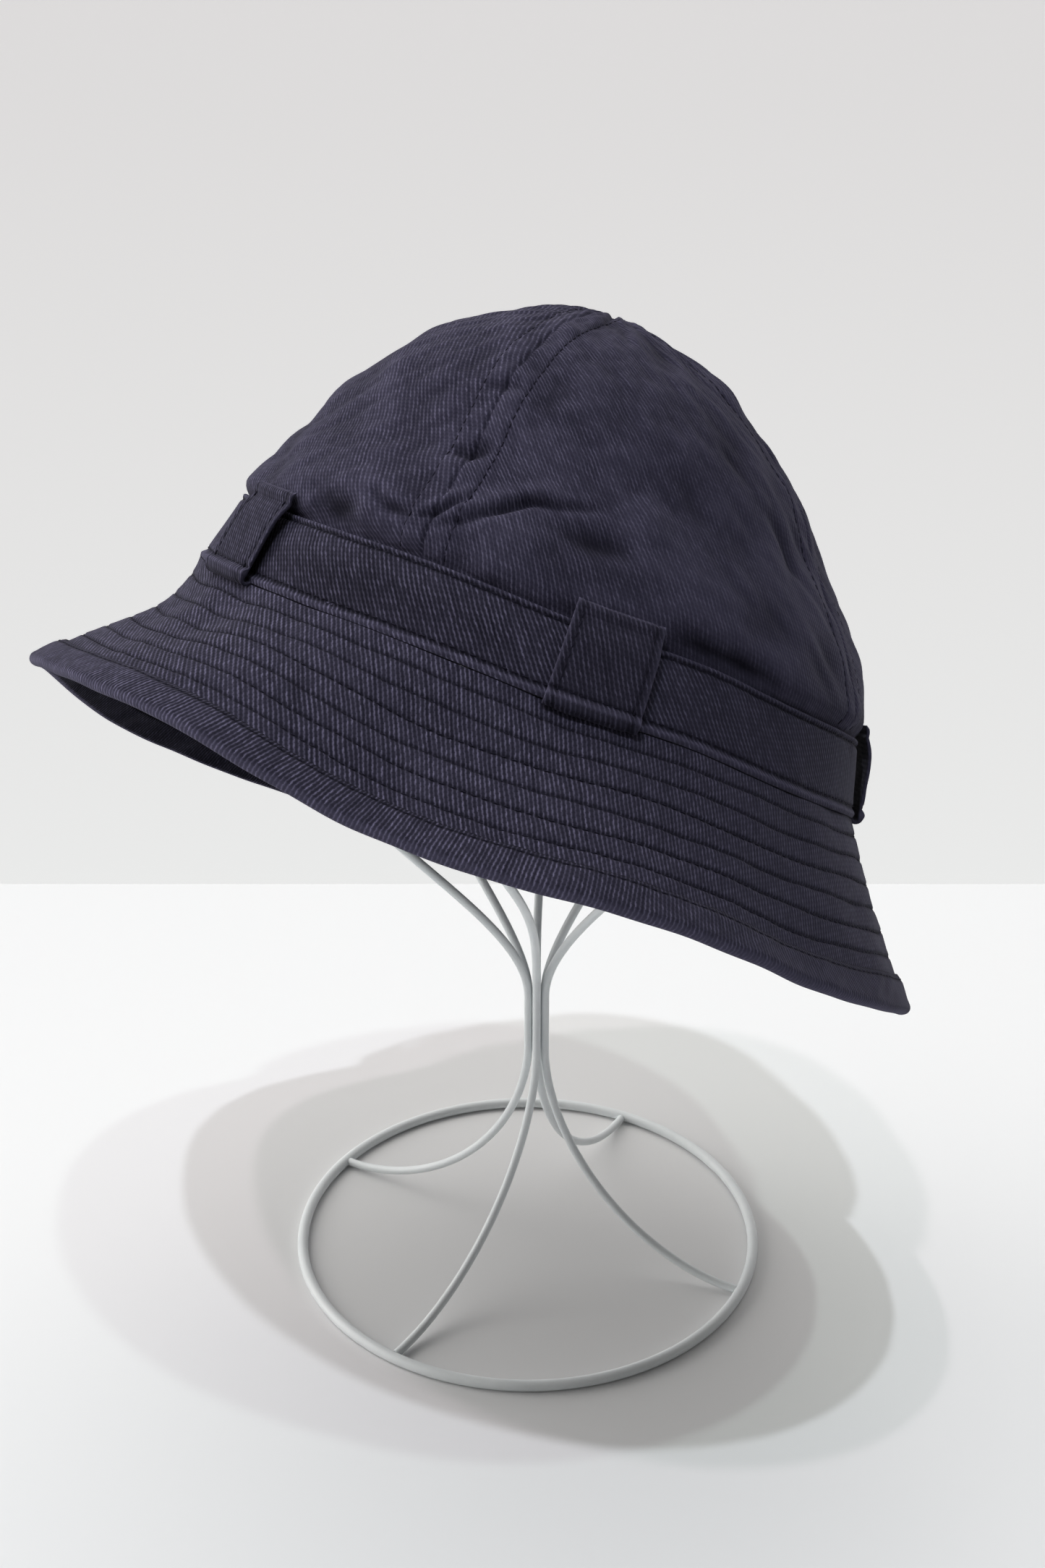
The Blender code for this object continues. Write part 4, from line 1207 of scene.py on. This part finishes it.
def flare_line(waist_azimuth, ball_azimuth):
    """From the foot of the waist up, and out to the ball along a Hermite curve."""
    start = np.array([waist_radius(), LEG_HEIGHT + WAIST_LENGTH])
    latitude = math.radians(BALL_START)
    level, upright = math.cos(latitude), math.sin(latitude)
    end = np.array([BALL_RADIUS * level, BALL_HEIGHT + BALL_RADIUS * upright])
    t = np.linspace(0, 1, 50)[:-1, None]
    curve = cubic(t, start, end, FLARE_PULL * np.array([0.0, 1.0]),
                  FLARE_PULL * np.array([-upright, level]))
    share = (curve[:, 0] - start[0]) / (end[0] - start[0])
    azimuth = waist_azimuth + (ball_azimuth - waist_azimuth) * share
    flare = np.concatenate([WAIST_OFFSET + polar(azimuth, curve[:, 0]), curve[:, 1:]], -1)
    low = WAIST_OFFSET + polar(waist_azimuth, waist_radius())
    waist = [(*low, height) for height in np.linspace(LEG_HEIGHT, start[1], 12)[:-1]]
    return np.concatenate([waist, flare])


def arch_line(first_azimuth, second_azimuth, level):
    """Over the ball, changing heading near the top."""
    first = polar(first_azimuth, 1.0)
    second = -polar(second_azimuth, 1.0)
    latitude = np.linspace(BALL_START, 180.0 - BALL_START, 140)[:, None]
    angle = np.radians(latitude)
    blend = ramp((latitude - ARCH_TURN_START) / ARCH_TURN_SPAN)
    place = WAIST_OFFSET + BALL_RADIUS * np.cos(angle) * (first + (second - first) * blend)
    top = BALL_RADIUS - level * (RIB_WIRE + WIRE_GAP) * ramp(np.sin(angle))
    return np.concatenate([place, BALL_HEIGHT + top * np.sin(angle)], -1)


def wire_tube(name, line, thickness, reference, look, ring=False):
    """A round section carried along a line, in the frame of its tangent and a fixed direction.
    A ring's line ends where it starts."""
    tangent = np.gradient(line, axis=0)
    if ring:
        tangent[[0, -1]] = line[1] - line[-2]
    side = unit(np.cross(tangent, reference))
    up = np.cross(side, unit(tangent))
    across, out = rounded_outline(WIRE_SIDES, 0.5 * thickness, 0.5 * thickness, 1.0, 1.0)
    points = line + across[:, None, None] * side + out[:, None, None] * up
    around = np.arange(WIRE_SIDES + 1)[:, None] * math.pi * thickness / WIRE_SIDES
    weave = np.stack(np.broadcast_arrays(around, steps_along(line, 0)), -1)
    return sweep(name, points, weave, np.zeros(points.shape[:2]), look, ring)


def add_stand(look):
    """The ring and the bent wires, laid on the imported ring's middle."""
    low, high = (np.array(corner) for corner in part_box("stand_base_ring"))
    centre = 0.5 * (low + high) * (1, 1, 0)
    turn = np.arange(201) * math.tau / 200
    line = np.stack([RING_RADIUS * np.cos(turn), RING_RADIUS * np.sin(turn),
                     0 * turn + 0.5 * RING_WIRE], -1)
    ring = wire_tube("base_ring_wire", line + centre, RING_WIRE, (0, 0, 1), look, ring=True)
    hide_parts("stand_base_ring")
    for level, (name, one, other) in enumerate(STAND_WIRES):
        sides = []
        for waist, ball, foot in (one, other):
            leg = [leg_line(waist, foot)] if foot is not None else []
            sides.append(np.concatenate(leg + [flare_line(waist, ball)]))
        arch = arch_line(one[1], other[1], level)
        line = np.concatenate([sides[0], arch, sides[1][::-1]])
        keep = np.concatenate([[True], np.linalg.norm(np.diff(line, axis=0), axis=-1) > 1e-6])
        mean = math.radians(one[1])
        reference = (-math.sin(mean), math.cos(mean), REFERENCE_LEAN)
        piece = wire_tube(name.replace("stand", "bent"), line[keep] + centre, RIB_WIRE,
                          reference, look)
        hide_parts(name)


# Finishes

TWILL_FINISHES = (
    # name, cloth, worn pale, deep shade, strength of the pale ticks
    ("navy washed twill", (0.0104, 0.0096, 0.0206), (0.190, 0.176, 0.276),
     (0.0036, 0.0034, 0.0076), 0.62),
    ("navy worn twill", (0.0050, 0.0046, 0.0104), (0.172, 0.160, 0.254),
     (0.0016, 0.0016, 0.0036), 0.94),
    ("navy strap twill", (0.0054, 0.0049, 0.0106), (0.140, 0.130, 0.206),
     (0.0018, 0.0018, 0.0040), 0.76),
)

FADED_END = 0.015              # the cloth is rubbed pale up to this x, and fresh a span beyond
FADED_SPAN = 0.065


def new_group(name, inputs, outputs):
    """A shader node group with inputs given as (name, kind, value) and outputs as names."""
    group = bpy.data.node_groups.new(name, "ShaderNodeTree")
    for label, kind, value in inputs:
        socket = group.interface.new_socket(label, in_out="INPUT", socket_type=kind)
        if value is not None:
            socket.default_value = value
    for label in outputs:
        group.interface.new_socket(label, in_out="OUTPUT", socket_type="NodeSocketFloat")
    return group, group.nodes.new("NodeGroupInput"), group.nodes.new("NodeGroupOutput")


def math_node(tree, operation, first, second=None, third=None, clamp=False):
    """One sum of a shader; each value is a number or another node's output."""
    node = tree.nodes.new("ShaderNodeMath")
    node.operation = operation
    node.use_clamp = clamp
    for place, value in enumerate((first, second, third)):
        if value is None:
            continue
        if isinstance(value, (int, float)):
            node.inputs[place].default_value = value
        else:
            tree.links.new(value, node.inputs[place])
    return node.outputs[0]


def noise_node(tree, vector, scale, detail=2.0, roughness=0.5):
    """Noise from 0 to 1 with so many grains a metre."""
    node = tree.nodes.new("ShaderNodeTexNoise")
    node.inputs["Scale"].default_value = scale
    node.inputs["Detail"].default_value = detail
    node.inputs["Roughness"].default_value = roughness
    tree.links.new(vector, node.inputs["Vector"])
    return node.outputs["Fac"]


def stretch(tree, vector, scale):
    """A vector with each part multiplied by its own number."""
    node = tree.nodes.new("ShaderNodeVectorMath")
    node.operation = "MULTIPLY"
    tree.links.new(vector, node.inputs[0])
    node.inputs[1].default_value = scale
    return node.outputs[0]


def split(tree, vector):
    """The outputs X, Y and Z of a vector."""
    node = tree.nodes.new("ShaderNodeSeparateXYZ")
    tree.links.new(vector, node.inputs[0])
    return node.outputs


def object_place(tree):
    """The place on an object, in metres."""
    return tree.nodes.new("ShaderNodeTexCoord").outputs["Object"]


def add_bump(tree, shader, height, distance, strength=1.0):
    """Lets a height roughen a surface."""
    bump = tree.nodes.new("ShaderNodeBump")
    bump.inputs["Strength"].default_value = strength
    bump.inputs["Distance"].default_value = distance
    tree.links.new(height, bump.inputs["Height"])
    tree.links.new(bump.outputs["Normal"], shader.inputs["Normal"])


def twill_group():
    """Twill from the weave's place in metres, ribs running along its second axis. Height: the
    sine of the place across a rib, times a shorter swell along it that steps from rib to rib,
    plus nap. Fleck: the pale cross thread in each valley, cut into ticks of their own strength,
    few of them strong. Mottle: slow unevenness of the dye, and yarns a little off its tone."""
    group, given, made = new_group(
        "twill weave",
        (("Weave", "NodeSocketVector", None), ("Pitch", "NodeSocketFloat", 0.00110),
         ("Tick", "NodeSocketFloat", 0.00150)), ("Height", "Fleck", "Mottle"))
    maths = functools.partial(math_node, group)
    weave = given.outputs["Weave"]
    place = split(group, weave)
    waver = maths("MULTIPLY_ADD", noise_node(group, weave, 90.0), 0.0011, -0.00055)
    ribs = maths("DIVIDE", maths("ADD", place["X"], waver), given.outputs["Pitch"])
    rib = maths("SINE", maths("MULTIPLY", maths("FRACT", ribs), math.pi))
    along = maths("DIVIDE", place["Y"], given.outputs["Tick"])
    stepped = maths("MULTIPLY_ADD", maths("FLOOR", ribs), 0.38, along)
    swell = maths("SINE", maths("MULTIPLY", stepped, math.tau))
    height = maths("MULTIPLY", rib, maths("MULTIPLY_ADD", swell, 0.2, 0.8))
    nap = noise_node(group, weave, 3200.0, roughness=0.6)
    group.links.new(maths("MULTIPLY_ADD", nap, 0.35, height), made.inputs["Height"])
    jog = maths("MULTIPLY_ADD", nap, 0.5, stepped)
    cell = group.nodes.new("ShaderNodeCombineXYZ")
    group.links.new(maths("FLOOR", maths("ADD", ribs, 0.5)), cell.inputs["X"])
    group.links.new(maths("FLOOR", jog), cell.inputs["Y"])
    chance = group.nodes.new("ShaderNodeTexWhiteNoise")
    group.links.new(cell.outputs[0], chance.inputs["Vector"])
    strength = maths("MULTIPLY_ADD", maths("POWER", chance.outputs["Value"], 1.5), 0.70, 0.36)
    valley = maths("POWER", maths("SUBTRACT", 1.0, rib, clamp=True), 1.3)
    tick = maths("SINE", maths("MULTIPLY", maths("FRACT", jog), math.pi))
    fleck = maths("MULTIPLY", maths("MULTIPLY", valley, strength), maths("POWER", tick, 0.4))
    group.links.new(fleck, made.inputs["Fleck"])
    slow = noise_node(group, weave, 55.0, 3.0, 0.55)
    yarn = noise_node(group, stretch(group, weave, (1.0, 0.06, 1.0)), 700.0)
    mottle = maths("MULTIPLY_ADD", yarn, 0.6, maths("MULTIPLY", slow, 0.4))
    group.links.new(mottle, made.inputs["Mottle"])
    return group


def mix_colour(tree, factor, first, second):
    """The first colour where the factor is 0 and the second where it is 1."""
    node = tree.nodes.new("ShaderNodeMix")
    node.data_type = "RGBA"
    tree.links.new(factor, node.inputs["Factor"])
    for socket, value in ((node.inputs[6], first), (node.inputs[7], second)):
        if isinstance(value, tuple):
            socket.default_value = (*value, 1.0)
        else:
            tree.links.new(value, socket)
    return node.outputs[2]


def between(first, second, share):
    """A colour on the way from the first to the second."""
    return tuple((1 - share) * a + share * b for a, b in zip(first, second))


def new_material(name, roughness):
    """A material with its node tree and its shader."""
    made = bpy.data.materials.new(name)
    made.use_nodes = True
    shader = made.node_tree.nodes["Principled BSDF"]
    shader.inputs["Roughness"].default_value = roughness
    return made, made.node_tree, shader


def twill_material(group, name, cloth, pale, deep, fleck):
    """Washed twill: the cloth's colour, a little paler where the mottle says, deeper between
    the ribs, darker with painted shade where the tone is below 0 (grooves, creases, hollows, the
    brim's underside), with pale ticks of cross thread that fade towards +X, paler where the tone
    is above 0 (worn edges, and the painted highlight on the straps' rolled ends), and the weave's
    height as bump."""
    made, tree, shader = new_material(name, 0.92)
    maths = functools.partial(math_node, tree)
    place = tree.nodes.new("ShaderNodeUVMap")
    place.uv_map = "weave"
    weave = tree.nodes.new("ShaderNodeGroup")
    weave.node_tree = group
    tree.links.new(place.outputs["UV"], weave.inputs["Weave"])
    tone = tree.nodes.new("ShaderNodeAttribute")
    tone.attribute_name = "tone"
    # Tone above 0: worn pale, and on the straps' rolls painted highlight; below 0: painted shade
    # towards the deep colour
    worn = maths("MULTIPLY", tone.outputs["Fac"], 0.22, clamp=True)
    shade = maths("MULTIPLY", tone.outputs["Fac"], -0.85, clamp=True)
    mottle = maths("MULTIPLY_ADD", weave.outputs["Mottle"], 2.0, -0.5, clamp=True)
    colour = mix_colour(tree, mottle, cloth, between(cloth, pale, 0.14))
    rib = maths("MULTIPLY_ADD", weave.outputs["Height"], -0.6, 0.6, clamp=True)
    colour = mix_colour(tree, rib, colour, deep)
    x = split(tree, object_place(tree))["X"]
    fresh = maths("MULTIPLY_ADD", x, 1 / FADED_SPAN, -FADED_END / FADED_SPAN, clamp=True)
    colour = mix_colour(tree, maths("MULTIPLY", fresh, 0.5), colour, between(cloth, pale, 0.12))
    colour = mix_colour(tree, worn, colour, pale)
    colour = mix_colour(tree, shade, colour, deep)
    ticks = maths("MULTIPLY", weave.outputs["Fleck"], fleck, clamp=True)
    ticks = maths("MULTIPLY", ticks, maths("SUBTRACT", 1.0, shade))
    ticks = maths("MULTIPLY", ticks, maths("MULTIPLY_ADD", fresh, -0.65, 1.0))
    colour = mix_colour(tree, ticks, colour, pale)
    tree.links.new(colour, shader.inputs["Base Color"])
    add_bump(tree, shader, weave.outputs["Height"], 0.00020, 0.6)
    shader.inputs["Sheen Weight"].default_value = 0.09
    shader.inputs["Sheen Roughness"].default_value = 0.35
    shader.inputs["Sheen Tint"].default_value = (0.60, 0.58, 0.70, 1.0)
    shader.inputs["Specular IOR Level"].default_value = 0.08
    return made


def thread_material():
    """Dark sewing thread with a fine spun unevenness."""
    made, tree, shader = new_material("navy sewing thread", 0.75)
    spun = noise_node(tree, object_place(tree), 2600.0)
    tree.links.new(mix_colour(tree, spun, (0.0050, 0.0044, 0.0110), (0.0120, 0.0105, 0.0240)),
                   shader.inputs["Base Color"])
    shader.inputs["Specular IOR Level"].default_value = 0.12
    add_bump(tree, shader, spun, 0.0001)
    return made


def wire_material():
    """White paint on wire: faint streaks in its colour and gloss, and a slight orange peel."""
    made, tree, shader = new_material("white wire paint", 0.38)
    place = object_place(tree)
    streak = noise_node(tree, place, 90.0, 4.0, 0.6)
    tree.links.new(mix_colour(tree, streak, (0.70, 0.735, 0.75), (0.84, 0.87, 0.88)),
                   shader.inputs["Base Color"])
    tree.links.new(math_node(tree, "MULTIPLY_ADD", streak, 0.25, 0.25), shader.inputs["Roughness"])
    add_bump(tree, shader, noise_node(tree, place, 1400.0), 0.0001, 0.25)
    return made


# Table, wall, light and camera

TABLE_REACH = 1.6
TABLE_EDGE = 0.2685            # the far edge, which shows behind the stand
WALL_PLACE = 2.2
WALL_REACH = 4.0
WALL_HEIGHT = 3.0

SOFT_LIGHTS = (
    # towards x, y, z, strength
    (-0.93, 0.25, 0.25, 2.30),
    (-0.55, 0.75, 0.40, 2.90),
    (0.0, 0.6, 0.8, 1.45),
)

EVEN_LIGHT = 0.10
LIGHT_TINT = (1.0, 0.985, 0.955)

SUNS = (
    # name, the way its light travels, energy, colour, spread
    ("ceiling_lamp", (0.082, 0.251, -1.0), 0.76, (0.88, 0.94, 1.0), 1.2),
    ("right_lamp", (-0.106, 0.224, -1.0), 0.34, (0.85, 1.0, 0.93), 1.5),
    ("left_lamp", (0.203, 0.214, -1.0), 0.37, (1.0, 0.88, 0.93), 1.5),
)

CAMERA_PLACE = (0.01355, -0.53326, 0.4420)
CAMERA_PITCH = 26.24           # below the level
CAMERA_LENS = 50.0             # in millimetres, as the sensor's width is
CAMERA_SENSOR = 36.0


def plain_sheet(name, corners, axis, span, colours, painted_glow):
    """A flat sheet whose tone changes gently along an axis, from the first colour at the span's
    start to the second at its end, standing in for how light falls on it: painted light and shade.
    painted_glow makes the sheet glow with its colour, painted light though it is no lamp."""
    mesh = bpy.data.meshes.new(name)
    mesh.from_pydata(corners, [], [(0, 1, 2, 3)])
    made, tree, shader = new_material(name.replace("_", " "), 0.8)
    width = span[1] - span[0]
    place = split(tree, object_place(tree))[axis]
    share = math_node(tree, "MULTIPLY_ADD", place, 1 / width, -span[0] / width, clamp=True)
    colour = mix_colour(tree, share, *colours)
    tree.links.new(colour, shader.inputs["Base Color"])
    tree.links.new(colour, shader.inputs["Emission Color"])
    shader.inputs["Specular IOR Level"].default_value = 0.1
    shader.inputs["Emission Strength"].default_value = painted_glow
    mesh.materials.append(made)
    sheet = bpy.data.objects.new(name, mesh)
    bpy.context.scene.collection.objects.link(sheet)


def add_sun(name, direction, energy, colour, spread):
    """A far lamp whose light travels along direction."""
    lamp = bpy.data.lights.new(name, "SUN")
    lamp.energy = energy
    lamp.color = colour
    lamp.angle = math.radians(spread)
    holder = bpy.data.objects.new(name, lamp)
    bpy.context.scene.collection.objects.link(holder)
    x, y, z = unit(np.array(direction))
    holder.rotation_euler = (math.acos(-z), 0.0, math.atan2(-x, y))


def add_soft_light():
    """Soft light from all round: an even share, and for each row of the table a share that
    falls off from its direction as the fourth power of the cosine."""
    world = bpy.data.worlds.new("studio")
    world.use_nodes = True
    tree = world.node_tree
    place = tree.nodes.new("ShaderNodeTexCoord")
    total = EVEN_LIGHT
    for *towards, strength in SOFT_LIGHTS:
        lean = tree.nodes.new("ShaderNodeVectorMath")
        lean.operation = "DOT_PRODUCT"
        tree.links.new(place.outputs["Generated"], lean.inputs[0])
        lean.inputs[1].default_value = unit(np.array(towards))
        share = math_node(tree, "MAXIMUM", lean.outputs["Value"], 0.0)
        share = math_node(tree, "POWER", share, 4.0)
        total = math_node(tree, "MULTIPLY_ADD", share, strength, total)
    tree.links.new(stretch(tree, total, LIGHT_TINT), tree.nodes["Background"].inputs["Color"])
    bpy.context.scene.world = world


def add_room():
    """A pale table whose far edge shows behind the stand, and a pale wall well behind it."""
    table = [(-TABLE_REACH, -TABLE_REACH, 0), (TABLE_REACH, -TABLE_REACH, 0),
             (TABLE_REACH, TABLE_EDGE, 0), (-TABLE_REACH, TABLE_EDGE, 0)]
    wall = [(x * WALL_REACH, WALL_PLACE, z * WALL_HEIGHT)
            for x, z in ((-1, -1), (1, -1), (1, 1), (-1, 1))]
    # The table is a little darker towards the front: painted shade
    plain_sheet("pale_table", table, "Y", (-0.13, 0.02),
                ((0.73, 0.735, 0.745), (0.765, 0.765, 0.77)), 0.0)
    # The wall is lighter towards the bottom and glows: painted light
    plain_sheet("pale_wall", wall, "Z", (-1.1, 0.15),
                ((0.86, 0.865, 0.86), (0.75, 0.735, 0.735)), 0.68)
    add_soft_light()
    for sun in SUNS:
        add_sun(*sun)
    bpy.context.scene.view_settings.view_transform = "Standard"


def add_camera():
    """The photo's camera."""
    lens = bpy.data.cameras.new("camera")
    lens.sensor_width = CAMERA_SENSOR
    lens.lens = CAMERA_LENS
    lens.clip_start = 0.01
    holder = bpy.data.objects.new("camera", lens)
    bpy.context.scene.collection.objects.link(holder)
    holder.location = CAMERA_PLACE
    holder.rotation_euler = (math.radians(90.0 - CAMERA_PITCH), 0.0, 0.0)
    bpy.context.scene.camera = holder


def main():
    """Makes the finishes, then every piece, the room and the camera."""
    weave = twill_group()
    crown, twill, strap = (twill_material(weave, *finish) for finish in TWILL_FINISHES)
    thread = thread_material()
    for number, (columns, rows) in enumerate(PANEL_GRIDS, 1):
        add_crown_panel(number, crown, columns, rows)
    add_crown_stitches(thread)
    add_band(twill)
    add_band_stitches(thread)
    add_brim(twill)
    add_brim_stitches(thread)
    add_binding(twill)
    add_binding_stitches(thread)
    for number, middle in enumerate(LOOP_AZIMUTHS, 1):
        add_loop(number, middle, strap, thread)
    add_stand(wire_material())
    add_room()
    add_camera()


main()
